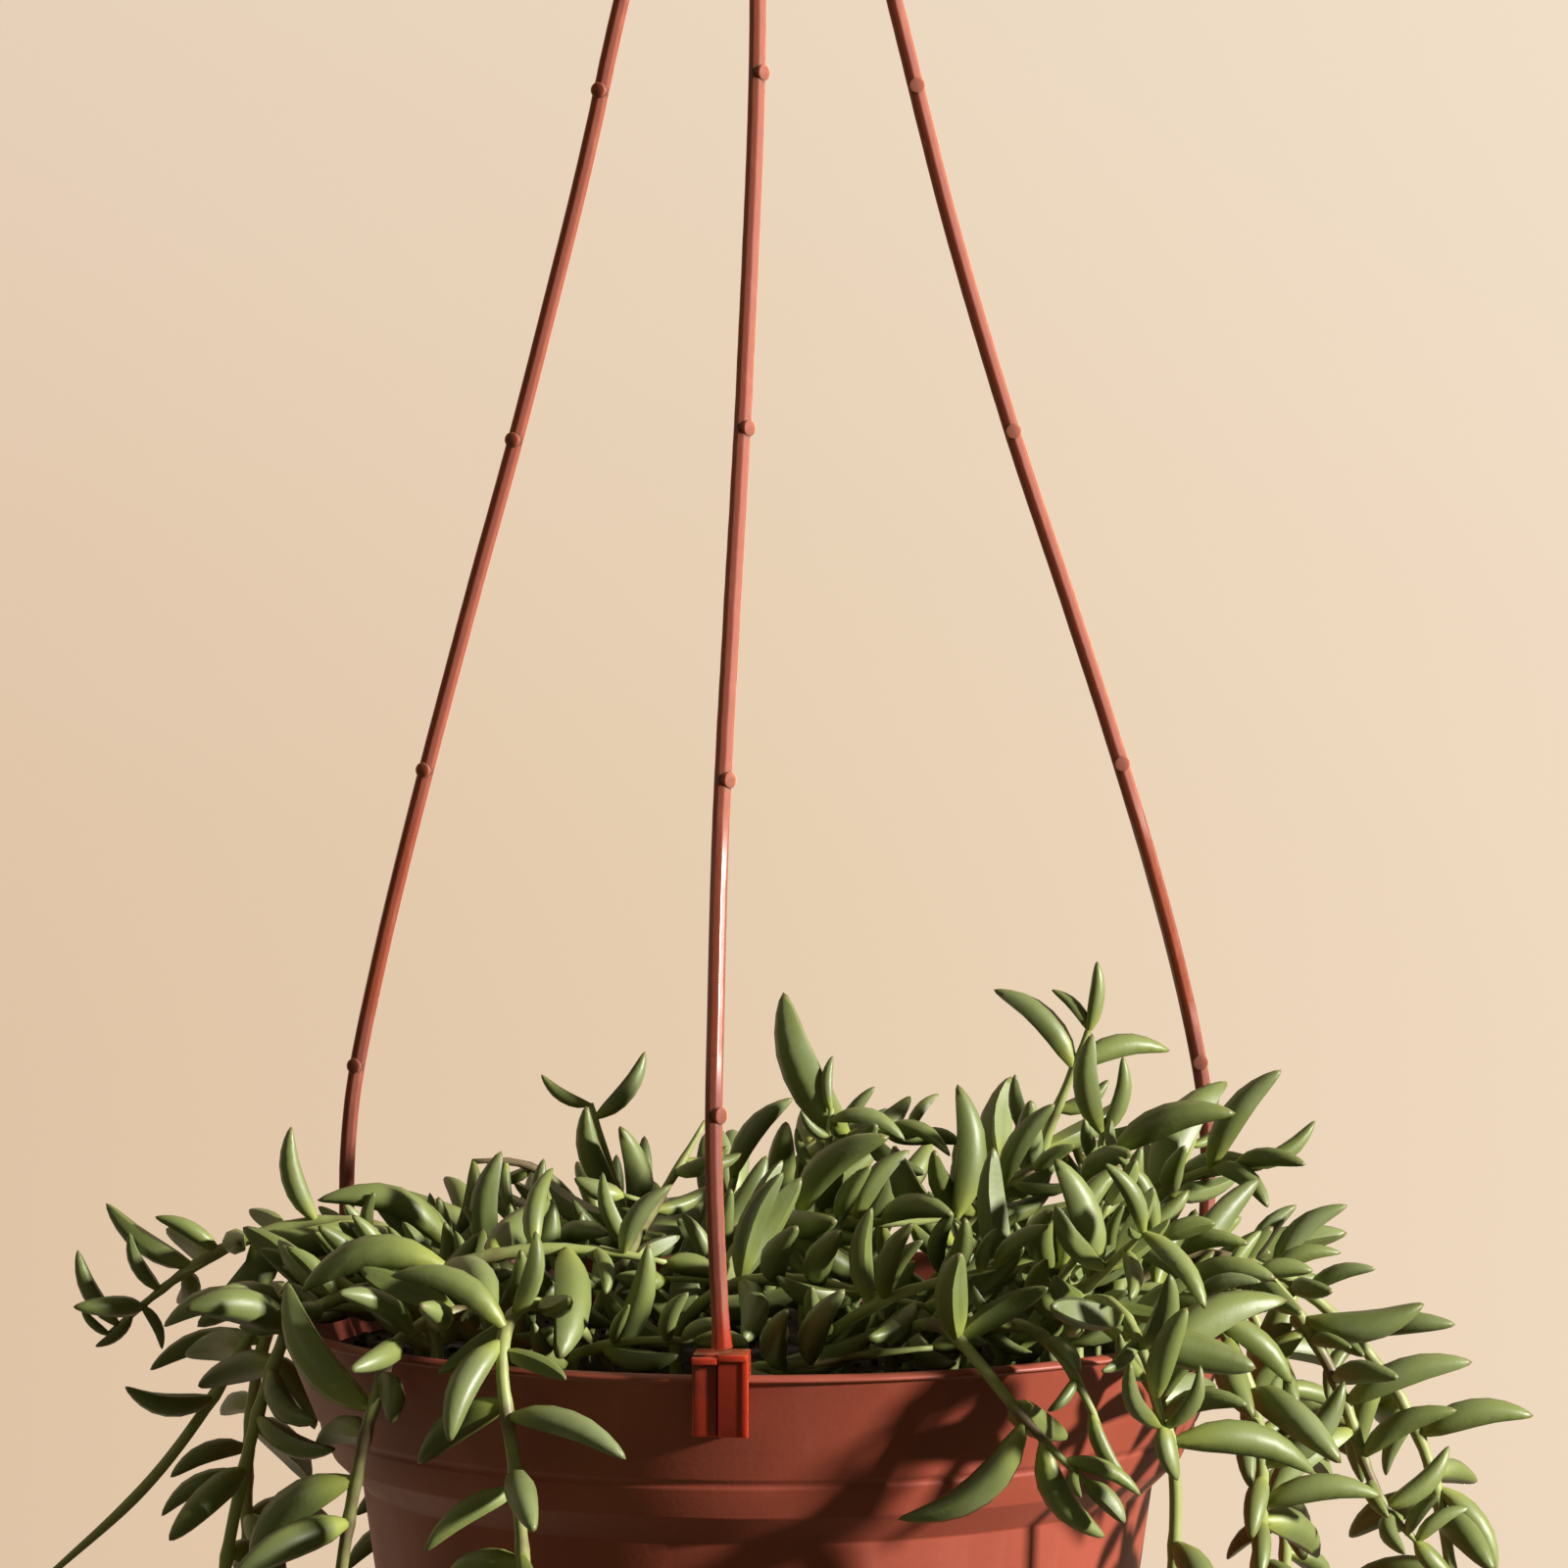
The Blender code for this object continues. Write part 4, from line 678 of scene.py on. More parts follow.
LEAF_STOUT = (0.92, 1.1)  # how much leaves differ in width
LEAF_CURL = 0.8  # how much a leaf bows back along its stem
LEAF_DROOP = 0.5  # and how much it bows up from below
LEAF_FULL = (0.9, 0.8)  # powers that make it fuller towards its root and its ends
LEAST_SIDE = 0.05  # a sideways direction shorter than this is of no use
END_ON = 0.3  # a leaf that shows less of its length than this bows sideways
LEAF_BALLS = 10  # that fill a leaf when its place is tried
NECK_BALLS = 2  # of those, the ones that may touch its own stem
POINT_RADIUS = 0.35  # of the last ball, at the leaf's point
TIP_ZONE = 24.0  # leaves this near the stem's end are young and smaller
TIP_SIZE = 0.45
ROOT_SINK = 0.8  # how far a leaf's root goes past the middle of its stem
LEAF_GAP = 0.55
LEAF_TRIES = 14
TRY_TURN = 0.9  # radians round the stem from one try to the next
TRY_SMALLER = 0.8  # size of a leaf in the later tries
SHOWN_SIZES = (1.0, 0.92, 0.84, 0.76, 0.68)
SPACING_VARIES = (0.75, 1.25)
FIRST_LEAF = -3.0  # height at which a stem's first leaf may stand
SPIRAL = math.radians(137.5)
CELL = 8.0  # side of a cell of the grid that finds neighbours
SEED = 17
COLLAR_TURN = 0.8  # half the height in which the collar turns in, for the plant's sake
# The line that the leaves of the mat don't rise above, as (x, height).
CANOPY = [(-140, 12), (-80, 15), (-70, 21), (-60, 19), (-48, 18), (-38, 24), (-24, 28), (-8, 33),
          (6, 35), (24, 36), (38, 34), (50, 40), (60, 41), (72, 38), (82, 43), (91, 38), (98, 30),
          (108, 16), (118, 6), (140, 2)]
# Stretches where the old leaves have dropped, as distances along the stem.
BARE = {"stem_left_long": (92.0, 200.0)}
# The balls that keep the plant off the clips and the legs.
GUARD_ACROSS = (-3.4, 0.0, 3.4)
GUARD_HEIGHTS = (-9.0, -6.0, -3.0, 0.0, 1.6)
GUARD_OUT = 1.3  # beyond the rim
GUARD_RADIUS = 2.2
TONGUE_GUARD = (78.6, 81.5, 84.0)
TONGUE_GUARD_HEIGHT = 0.6
TONGUE_GUARD_RADIUS = 2.4
LEG_GUARD_RADIUS = 1.25
LEG_GUARD_TOP = 90.0  # no leaf reaches the legs above this
WALL_MIDDLE = 0.7  # from the pot's outer side to the middle of its wall
WALL_HALF = 1.3  # half the wall, with some to spare for the lip
STEMS = {}


def stem(name, x, y, route, *leaves):
    """Note a stem: where it is rooted, the places that it passes up to its growing end, and the
    leaves that stand out on it. Each has the step of the stem that it stands on, its tip and its
    bow, which is a part of its length, towards the left of its way where it is above zero."""
    STEMS["stem_" + name] = ([(x, y, height) for height in ROOT_HEIGHTS] + route, leaves)


stem("left_sprig", -52, 14, [(-55, 15, 6), (-65, 18, 13), (-78, 20, 14), (-93, 22, 10), (-101, 23, 6),
     (-107, 24, 1), (-113, 24, -5), (-117, 24, -8)], (21, -84, 18, 30, 0.14), (27, -92, 3, 11, 0.05),
     (31, -118, 26, 15, 0.1), (34, -115, 20, 14, 0.14), (38, -123, 24, 7, 0.12), (39, -122, 22, -3, 0.1),
     (37, -119, 20, -10, 0.1))
stem("left_long", -50, -8, [(-54, -9, 4), (-66, -12, 9), (-80, -14, 3), (-88, -15, -5), (-96, -15, -16),
     (-105, -15, -29), (-114, -17, -37), (-121, -18, -42), (-127, -19, -48)], (27, -110, -24, -11, 0.18),
     (24, -104, -8, -2, -0.16), (47, -116, -20, -66, 0.14), (49, -135, -20, -67, 0.12))
stem("left_mid", -46, -24, [(-50, -26, 4), (-62, -30, 10), (-74, -33, 6), (-82, -36, -3), (-86, -37, -14),
     (-87, -37, -24), (-91, -37, -38), (-92, -37, -60), (-90, -36, -85)], (18, -83, -20, 14, 0.12))
stem("left_front", -38, -42, [(-42, -46, 4), (-52, -56, 9), (-60, -63, 3), (-64, -65, -7), (-66, -64, -18),
     (-69, -62, -34), (-71, -61, -55), (-71, -60, -72)], (31, -85, -56, -35, -0.14),
     (22, -79, -53, 13, 0.2))
stem("front", -24, -50, [(-29, -54, 4), (-38, -66, 12), (-43, -76, 8), (-42, -83, 0), (-40, -84, -8),
     (-39, -83, -17), (-38, -81, -27), (-38, -79, -48), (-39, -78, -66)], (23, -50, -88, -10, -0.12),
     (29, -21, -91, -12, 0.12), (34, -54, -86, -28, -0.1), (38, -32, -86, -40, -0.12),
     (20, -36, -72, 22, -0.1))
stem("left_mat", -40, 4, [(-42, 3, 3), (-50, 1, 10), (-58, -3, 11), (-68, -5, 12)],
     (15, -77, -6, 20, -0.24), (21, -67, -8, 23, 0.1))
stem("left_arch", -54, -40, [(-55, -41, 2), (-59, -46, 9), (-57, -50, 14), (-48, -50, 15), (-36, -50, 17),
     (-25, -50, 17), (-15, -50, 14)], (14, -44, -69, 5, 0.3), (25, -32, -72, 1, 0.05),
     (27, -25, -59, 10, 0.1), (23, -35, -40, 29, 0.1), (12, -77, -40, 10, -0.16))
stem("front_rise", -30, -30, [(-29, -30, 0), (-21, -28, 16), (-12, -24, 29), (-9, -22, 35)])
stem("back_rise", -20, 22, [(-22, 21, 7), (-26, 20, 21), (-30, 20, 34)], (22, -39, 20, 39, 0.14),
     (21, -20, 22, 43, -0.12), (15, -31, 14, 34, 0.12), (11, -24, 10, 31, -0.1))
stem("left_upright", -42, -12, [(-43, -12, 3), (-46, -12, 13), (-51, -13, 19)], (11, -45, -13, 29, 0.14))
stem("centre", 14, 8, [(13, 7, 8), (13, 5, 22), (13, 5, 34), (20, 4, 33), (29, 3, 30)],
     (21, 4, 4, 55, 0.1), (25, 34, -2, 27, 0.2))
stem("centre_back", -6, 16, [(-7, 15, 6), (-6, 13, 20), (-2, 14, 28)], (16, 6, 12, 36, 0.14))
stem("centre_front", -10, -16, [(-10, -17, 6), (-6, -20, 19), (8, -22, 19), (21, -22, 16), (34, -20, 18)],
     (21, 22, -34, 34, 0.16), (25, 26, -20, 30, 0.12), (32, 35, -18, 41, -0.12))
stem("low", -14, -38, [(-13, -40, 4), (-6, -46, 12), (6, -49, 12), (18, -53, 9), (28, -60, 8)],
     (24, 3, -62, 13, 0.16), (15, -2, -66, 3, 0.1), (28, 18, -72, 4, 0.1))
stem("top", 44, 8, [(45, 7, 8), (50, 4, 28), (54, 2, 38), (57, 1, 43), (59, 0, 51)], (29, 60, 0, 62, -0.1),
     (28, 52, 2, 56, -0.12), (25, 43, 4, 56, 0.12), (25, 73, 6, 45, 0.16), (19, 45, 0, 41, 0.12))
stem("top_front", 56, -8, [(56, -8, 8), (58, -7, 22), (61, -7, 34)], (20, 58, -9, 49, 0.12),
     (21, 65, -6, 47, -0.1), (16, 64, -24, 30, 0.14))
stem("right_mat", 62, 10, [(63, 10, 8), (70, 9, 20), (80, 6, 26), (89, 2, 25)], (21, 92, 1, 42, 0.1),
     (24, 99, 6, 32, -0.14), (23, 96, -6, 26, 0.1), (21, 94, -12, 16, 0.16), (16, 84, 22, 38, 0.12),
     (14, 80, 22, 22, 0.12))
stem("right_long", 58, -22, [(60, -22, 3), (70, -21, 12), (82, -20, 14), (90, -20, 9), (94, -20, 0),
     (100, -21, -8), (103, -22, -15), (104, -22, -23), (106, -22, -32), (110, -22, -38), (114, -22, -38)],
     (27, 115, -23, 3, -0.14), (34, 123, -24, -6, 0.1), (38, 120, -27, -14, 0.14),
     (42, 120, -19, -22, -0.14), (45, 117, -27, -29, 0.1), (46, 123, -21, -32, 0.12),
     (14, 84, -30, 15, 0.2))
stem("right_drape", 68, -4, [(69, -4, 2), (78, -4, 10), (88, -5, 11), (95, -5, 6), (101, -5, -1),
     (112, -5, -12), (119, -5, -28), (122, -4, -45), (124, -4, -62), (124, -4, -74)],
     (19, 103, -7, 19, 0.16), (22, 108, -9, 8, 0.14), (35, 136, -7, -18, 0.12), (39, 130, -7, -46, 0.14))
stem("right_front", 52, -34, [(54, -34, 4), (65, -35, 11), (77, -37, 6), (84, -38, -6), (86, -38, -19),
     (86, -37, -32), (84, -36, -48), (82, -35, -75), (80, -35, -102)], (32, 100, -38, -8, -0.16),
     (35, 106, -38, -27, 0.14))
stem("front_right", 42, -46, [(44, -48, 3), (52, -55, 10), (60, -62, 5), (66, -65, -4), (69, -64, -12),
     (70, -62, -20), (69, -60, -34), (68, -58, -60), (66, -57, -84)], (23, 88, -56, 9, 0.16),
     (20, 72, -68, 14, 0.12), (23, 59, -72, 5, 0.12), (28, 93, -57, -20, 0.16), (26, 80, -74, -6, 0.14))
stem("front_bunch", 22, -54, [(23, -57, 2), (28, -69, 9), (34, -80, 5), (38, -85, -1), (42, -87, -7),
     (48, -87, -12), (53, -87, -17)], (26, 22, -92, -21, 0.2), (29, 57, -89, -28, -0.16),
     (31, 62, -86, -19, 0.12))
stem("front_mat", 36, -28, [(37, -30, 4), (42, -38, 12), (48, -46, 15), (55, -50, 13)],
     (19, 48, -60, 24, 0.12), (13, 36, -50, 16, 0.12), (20, 61, -44, 30, 0.12))
stem("centre_right", 30, -6, [(31, -7, 6), (35, -10, 17), (43, -12, 24), (48, -16, 26)],
     (19, 51, -20, 38, 0.1), (16, 30, -24, 30, 0.12))
stem("mat_back_left", -28, 38, [(-29, 38, 6), (-35, 37, 19), (-43, 36, 25), (-52, 34, 22)])
stem("mat_back", 2, 32, [(2, 33, 8), (6, 37, 24), (14, 40, 30), (24, 41, 26)])
stem("mat_back_right", 34, 26, [(35, 26, 8), (42, 29, 22), (51, 32, 28), (60, 34, 24)])
stem("back_far_left", -60, 28, [(-62, 28, 3), (-72, 29, 10), (-83, 29, 5), (-89, 29, -5), (-92, 29, -20),
     (-93, 29, -45), (-91, 28, -72)])
stem("back_left", -42, 48, [(-43, 49, 3), (-50, 57, 11), (-57, 67, 5), (-60, 71, -6), (-62, 72, -25),
     (-62, 71, -60), (-60, 68, -98)])
stem("back_mid_left", -24, 56, [(-25, 58, 3), (-29, 70, 11), (-33, 82, 5), (-35, 87, -5), (-36, 90, -25),
     (-35, 89, -60), (-33, 86, -108)])
stem("back_middle", -4, 52, [(-4, 54, 3), (-5, 68, 12), (-6, 82, 7), (-6, 91, -4), (-6, 94, -20),
     (-6, 93, -48)])
stem("back_mid_right", 18, 58, [(18, 60, 3), (20, 71, 11), (22, 83, 6), (23, 89, -4), (24, 92, -20),
     (24, 92, -55), (22, 90, -90)])
stem("back_right", 40, 48, [(41, 50, 3), (46, 60, 11), (51, 71, 6), (54, 76, -4), (56, 79, -18),
     (56, 79, -44)])
stem("back_far_right", 62, 26, [(63, 25, 3), (74, 21, 11), (85, 18, 5), (91, 18, -6), (94, 18, -22),
     (95, 18, -50), (94, 18, -82)])


class Neighbours:
    """A grid of balls, each with its owner, that finds what lies near a place."""

    def __init__(self):
        self.cells = {}

    def cell(self, place):
        return tuple(math.floor(value / CELL) for value in place)

    def add(self, place, radius, owner):
        self.cells.setdefault(self.cell(place), []).append((place, radius, owner))

    def add_leaf(self, leaf, name):
        for place, radius in leaf_balls(leaf):
            self.add(place, radius, name + " leaf")

    def near(self, place):
        x, y, z = self.cell(place)
        for i in (x - 1, x, x + 1):
            for j in (y - 1, y, y + 1):
                for k in (z - 1, z, z + 1):
                    yield from self.cells.get((i, j, k), ())

    def is_clear(self, place, radius, skip, gap):
        """Whether a ball stays clear of every ball whose owner isn't skipped."""
        for other, girth, owner in self.near(place):
            if owner != skip and (other - place).length < radius + girth + gap:
                return False
        return True


def wall_gap(place):
    """How far a place lies from the pot's wall, with both measured in its own section."""
    line = [(RIM_RADIUS - LIP_WIDTH / 2, -LIP_HEIGHT / 2),
            (collar_radius(CURL_DROP) - WALL_MIDDLE, -CURL_DROP),
            (collar_radius(COLLAR_HEIGHT) - WALL_MIDDLE, -COLLAR_HEIGHT + COLLAR_TURN),
            (BODY_TOP_RADIUS - WALL_MIDDLE, -COLLAR_HEIGHT - COLLAR_TURN),
            (body_radius(POT_HEIGHT) - WALL_MIDDLE, -POT_HEIGHT)]
    r = math.hypot(place.x, place.y)
    least = math.inf
    for (r1, z1), (r2, z2) in zip(line, line[1:]):
        t = ((r - r1) * (r2 - r1) + (place.z - z1) * (z2 - z1)) / ((r2 - r1) ** 2 + (z2 - z1) ** 2)
        t = min(1.0, max(0.0, t))
        least = min(least, math.hypot(r1 + t * (r2 - r1) - r, z1 + t * (z2 - z1) - place.z))
    return least - WALL_HALF


def clear_of_pot(place, radius):
    """Whether a ball lies clear of the pot's wall and above its soil."""
    if wall_gap(place) < radius + LEAF_GAP:
        return False
    inside = math.hypot(place.x, place.y) < RIM_RADIUS
    return not inside or place.z > SOIL_CROWN - SOIL_DROP + radius + LEAF_GAP


def hanger_balls():
    """Balls that stand for the lower legs and the clips when the plant is laid out."""
    balls = []
    for degrees in LEG_TURNS:
        out, sideways = turn_frame(degrees)
        balls += [(point, LEG_GUARD_RADIUS) for point in leg_points(degrees, STEM_STEP)
                  if point.z < LEG_GUARD_TOP]
        guards = [(RIM_RADIUS + GUARD_OUT, height, GUARD_RADIUS) for height in GUARD_HEIGHTS]
        guards += [(r, TONGUE_GUARD_HEIGHT, TONGUE_GUARD_RADIUS) for r in TONGUE_GUARD]
        balls += [(out * r + sideways * across + Vector((0, 0, height)), radius)
                  for across in GUARD_ACROSS for r, height, radius in guards]
    return balls


def keep_apart(stems, fixed):
    """Bend stems clear of each other, of fixed ones, of the hanger and of the rim."""
    balls = hanger_balls() + [(point, STEM_RADIUS) for line in fixed.values() for point in line]
    held = {name: [point.z < ROOT_TOP and math.hypot(point.x, point.y) < BODY_TOP_RADIUS
                   for point in line] for name, line in stems.items()}
    for _ in range(BEND_ROUNDS):
        grid = Neighbours()
        for name, line in stems.items():
            for i, point in enumerate(line):
                grid.add(point, i, name)
        for place, radius in balls:
            grid.add(place, radius, None)
        for name, line in stems.items():
            moved = []
            for i, point in enumerate(line):
                push = Vector((0, 0, 0))
                for other, radius, owner in grid.near(point):
                    if owner == name:
                        continue
                    least = STEM_GAP if owner else radius + STEM_RADIUS + STEM_HANGER_GAP
                    away = point - other
                    if 0 < away.length < least:
                        share = STEM_PUSH if owner else 1.0
                        push += away.normalized() * (least - away.length) * share
                tight = STEM_RADIUS + STEM_WALL_GAP - wall_gap(point)
                if tight > 0:
                    out = Vector((point.x, point.y, 0)).normalized()
                    push += (UP if point.z > -LIP_HEIGHT else out) * tight
                moved.append(point if held[name][i] else point + push)
            for i in range(1, len(line) - 1):
                if not held[name][i]:
                    line[i] = moved[i].lerp((moved[i - 1] + moved[i + 1]) / 2, BEND_EASE)
    return stems


def girth(t):
    """The thickness of a leaf at a part of its length, against its greatest."""
    return math.sin(math.pi * t ** LEAF_FULL[0]) ** LEAF_FULL[1] if 0 < t < 1 else 0.0


def leaf_middle(leaf, t):
    """A point on the middle line of a leaf."""
    base, tip, side, bow, _ = leaf
    return base.lerp(tip, t) + side * (4 * bow * (tip - base).length * t * (1 - t))


def leaf_balls(leaf):
    """Balls that fill a leaf from its neck to its point."""
    radius = leaf[4] / 2
    parts = [i / LEAF_BALLS for i in range(1, LEAF_BALLS + 1)]
    return [(leaf_middle(leaf, t), max(POINT_RADIUS, radius * girth(t))) for t in parts]


def leaf_is_clear(leaf, grid, name, gap):
    """Whether a leaf stays clear of all but its own stem, and of that too past its neck."""
    for i, (place, radius) in enumerate(leaf_balls(leaf)):
        own = name if i <= NECK_BALLS else None
        if not clear_of_pot(place, radius) or not grid.is_clear(place, radius, own, gap):
            return False
    return True


def shown_leaf(line, row):
    """A leaf that the plant shows plainly."""
    at, *tip, bow = row
    root, tip = line[at].copy(), Vector(tip)
    chord = tip - root
    side = chord.cross(Vector((0, 1, 0)))
    if side.length < chord.length * END_ON:
        side = Vector((-1, 0, 0))
    side = side.normalized() * (1 if bow > 0 else -1)
    return (root, tip, side, abs(bow), chord.length * LEAF_WIDTH)


def grown_leaf(line, at, turn, draw, size):
    """A leaf at a step along a stem, turned round it, bowed back from the growing end."""
    along = (line[min(at + 1, len(line) - 1)] - line[at - 1]).normalized()
    level = along.cross(UP)
    level = level.normalized() if level.length > LEAST_SIDE else Vector((1, 0, 0))
    out = level * math.cos(turn) + level.cross(along).normalized() * math.sin(turn)
    lean = math.radians(draw.uniform(*LEAF_LEAN))
    way = (along * math.cos(lean) + out * math.sin(lean) + Vector((0, 0, LEAF_LIFT))).normalized()
    side = -along * LEAF_CURL - Vector((0, 0, LEAF_DROOP))
    side = side - way * side.dot(way)
    side = side.normalized() if side.length > LEAST_SIDE else level
    length = draw.uniform(*LEAF_LENGTH) * size
    return (line[at].copy(), line[at] + way * length, side, draw.uniform(*LEAF_BOW),
            length * LEAF_WIDTH * draw.uniform(*LEAF_STOUT))


def young(line, at):
    """How much smaller a leaf is near the growing end of its stem."""
    left = (len(line) - 1 - at) * STEM_STEP
    return TIP_SIZE + (1 - TIP_SIZE) * min(1.0, left / TIP_ZONE)


def below_canopy(leaf):
    """Whether a leaf's point stays below the line of the mat's top."""
    tip = leaf[1]
    for (x1, z1), (x2, z2) in zip(CANOPY, CANOPY[1:]):
        if x1 <= tip.x <= x2:
            return tip.z < z1 + (z2 - z1) * (tip.x - x1) / (x2 - x1)
    return False


def smaller(leaf, part):
    """The same leaf at a part of its size."""
    base, tip, side, bow, width = leaf
    return (base, base.lerp(tip, part), side, bow, width * part)


def grid_of(stems, leaves):
    """A grid of the hanger, the stems and the leaves that they have so far."""
    grid = Neighbours()
    for place, radius in hanger_balls():
        grid.add(place, radius, "hanger")
    for name, line in stems.items():
        for point in line:
            grid.add(point, STEM_RADIUS, name)
        for leaf in leaves[name]:
            grid.add_leaf(leaf, name)
    return grid


def keep_first(trials, leaves, grid, name, gap):
    """The first of some trial leaves that stays clear joins the leaves of its stem."""
    for leaf in trials:
        if leaf_is_clear(leaf, grid, name, gap):
            leaves[name].append(leaf)
            grid.add_leaf(leaf, name)
            break


def first_step(line):
    """The step of a stem at which its first leaf may stand."""
    return next(i for i, point in enumerate(line) if point.z > FIRST_LEAF)


def is_bare(name, at):
    start, end = BARE.get(name, (math.inf, math.inf))
    return start < at * STEM_STEP < end


def place_leaves(stems):
    """The leaves of every stem: those that stand out first, and then the rest by a spiral rule."""
    draw = random.Random(SEED)
    leaves = {name: [] for name in stems}
    grid = grid_of(stems, leaves)
    for name, line in stems.items():
        for row in STEMS[name][1]:
            leaf = shown_leaf(line, row)
            keep_first((smaller(leaf, part) for part in SHOWN_SIZES), leaves, grid, name, LEAF_GAP)
    for name, line in stems.items():
        at = first_step(line)
        turn = draw.uniform(0, math.tau)
        while at < len(line):
            trials = (grown_leaf(line, at, turn + attempt * TRY_TURN, draw, young(line, at)
                                 * (1.0 if attempt < LEAF_TRIES / 2 else TRY_SMALLER))
                      for attempt in range(0 if is_bare(name, at) else LEAF_TRIES))
            keep_first(filter(below_canopy, trials), leaves, grid, name, LEAF_GAP)
            turn += SPIRAL
            at += max(1, round(LEAF_SPACING * draw.uniform(*SPACING_VARIES) / STEM_STEP))
    return leaves


def sunk_leaf(leaf, bar):
    """A leaf with its root drawn back through the middle of its stem's own bar."""
    base, tip, side, bow, width = leaf
    spots = []
    for one, two in zip(bar, bar[1:]):
        t = min(1.0, max(0.0, (base - one).dot(two - one) / (two - one).length_squared))
        spots.append(one.lerp(two, t))
    nearest = min(spots, key=lambda spot: (spot - base).length)
    return (nearest - (tip - nearest).normalized() * ROOT_SINK, tip, side, bow, width)


stems = keep_apart({name: smooth_route(route, STEM_STEP) for name, (route, _) in STEMS.items()}, {})
leaves = place_leaves(stems)
packed = list(stems)

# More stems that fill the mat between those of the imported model.
stem("low_front", -4, -58, [(-2, -60, -3), (7, -65, -1), (18, -67, 1), (29, -66, 2)],
     (8, 25, -68, 6, -0.1))
stem("low_left", -32, -58, [(-31, -59, -2), (-26, -62, 4), (-18, -64, 4), (-10, -66, 3)],
     (10, -13, -70, 1, -0.12), (16, -5, -72, 7, 0.12))
stem("low_middle", 14, -46, [(15, -48, -1), (22, -52, 4), (32, -55, 5), (43, -56, 5)],
     (20, 35, -60, 12, 0.14))
stem("right_centre", 48, -32, [(49, -33, 2), (53, -36, 12), (61, -38, 17), (69, -38, 17)],
     (17, 76, -45, 6, 0.16), (16, 60, -48, 7, 0.1), (14, 49, -43, 22, 0.14), (19, 61, -40, 31, -0.16))
stem("right_edge", 64, -26, [(65, -27, 2), (71, -29, 10), (79, -30, 12), (86, -30, 10)],
     (13, 88, -37, 10, 0.14))
stem("right_peak", 50, -14, [(51, -14, 6), (56, -15, 20), (62, -16, 29)], (20, 82, -24, 37, 0.12))
stem("right_leg", 70, 20, [(71, 20, 4), (75, 21, 20), (80, 22, 31)], (16, 90, 8, 24, 0.12))
stem("left_inner", -30, -14, [(-31, -13, 2), (-35, -8, 11), (-37, 0, 15), (-38, 6, 16)],
     (17, -38, 2, 26, 0.1), (14, -26, -16, 15, 0.14))
stem("left_edge", -58, -22, [(-59, -23, 0), (-65, -26, 5), (-73, -28, 5), (-80, -28, 2)],
     (11, -58, -40, 4, 0.12))
stem("middle_inner", 4, -22, [(4, -24, 0), (2, -30, 8), (-6, -36, 10), (-16, -40, 10)])
stem("centre_inner", 26, -20, [(27, -21, 2), (30, -26, 11), (36, -32, 15), (42, -38, 15)],
     (13, 33, -38, 22, 0.12), (19, 33, -44, 20, 0.14))
stem("back_inner", -2, 4, [(-3, 4, 4), (-8, 2, 14), (-16, 0, 19), (-24, -2, 20)])
stem("rim_bunch", 50, -50, [(51, -54, 2), (54, -68, 12), (59, -81, 12), (62, -90, 7), (64, -93, -1),
     (65, -92, -7)], (30, 68, -98, 13, 0.06), (32, 59, -98, 4, 0.2), (32, 71, -94, 3, -0.2),
     (25, 55, -95, 2, 0.1), (26, 66, -97, 18, -0.1))
stem("rim_crown", 46, -42, [(48, -46, 3), (54, -66, 11), (58, -76, 18), (62, -84, 23)],
     (28, 56, -88, 35, -0.12), (25, 60, -90, 13, 0.1), (28, 72, -92, 12, 0.1), (22, 48, -80, 27, 0.1),
     (19, 49, -70, 34, -0.1))
stem("rim_dark", 32, -52, [(34, -55, 2), (42, -66, 7), (46, -75, 8), (50, -82, 3), (54, -82, -4),
     (57, -79, -13)], (20, 52, -86, 1, 0.08), (24, 47, -84, -6, 0.1), (27, 60, -81, -18, -0.1),
     (16, 35, -72, 13, 0.2))
stem("low_rise", 8, -56, [(9, -58, 0), (14, -64, 7), (22, -69, 12), (31, -72, 14), (39, -72, 16)],
     (15, 25, -76, 24, 0.1), (19, 34, -80, 25, -0.1), (23, 47, -80, 24, 0.1))
stem("low_right", 40, -50, [(42, -54, 2), (48, -61, 10), (54, -65, 18), (58, -67, 26)])
stem("centre_rise", 8, 2, [(9, 1, 8), (12, 0, 20), (13, 0, 30), (13, 0, 35)], (22, 13, 2, 45, 0.1),
     (21, 26, -4, 30, 0.22))

# More leaves that the plant shows plainly, and leaves that stand a little apart from the packed
# model's, by their stem and their number on it.
MORE_SHOWN = {
    "stem_centre_front": [(27, 33, -38, 21, 0.14)],
    "stem_centre": [(27, 32, 8, 37, 0.1)],
    "stem_mat_back_left": [(24, -55, 32, 8, 0.12), (21, -44, 32, 12, -0.12)],
    "stem_front_right": [(25, 72, -70, 1, 0.12)],
    "stem_front": [(22, -60, -71, 15, -0.2)],
    "stem_left_mid": [(30, -71, -48, -18, -0.15), (27, -74, -50, -13, -0.2)],
    "stem_right_front": [(19, 85, -42, 10, 0.16), (21, 91, -37, -8, 0.1)],
}
MOVED = {
    ("stem_left_front", 1): (26, -79, -53, 11, 0.15),
    ("stem_left_long", 0): (30, -109, -24, -11, 0.16),
    ("stem_left_arch", 4): (16, -77, -44, 9, -0.22),
    ("stem_top", 0): (28, 60, 0, 61, -0.05),
    ("stem_top", 2): (25, 42, 4, 56, -0.14),
    ("stem_top_front", 1): (20, 64, -9, 45, -0.12),
    ("stem_front_bunch", 0): (27, 23, -83, -24, 0.2),
    ("stem_front_bunch", 1): (29, 56, -82, -27, -0.16),
}
SHOWN_SPARE = 0.6  # how far a leaf that is shown plainly may press into what is near
SAME_ROOT = 0.01  # leaves with roots nearer than this
SAME_WAY = 0.9999  # and ways closer than this, as a cosine, are the same leaf
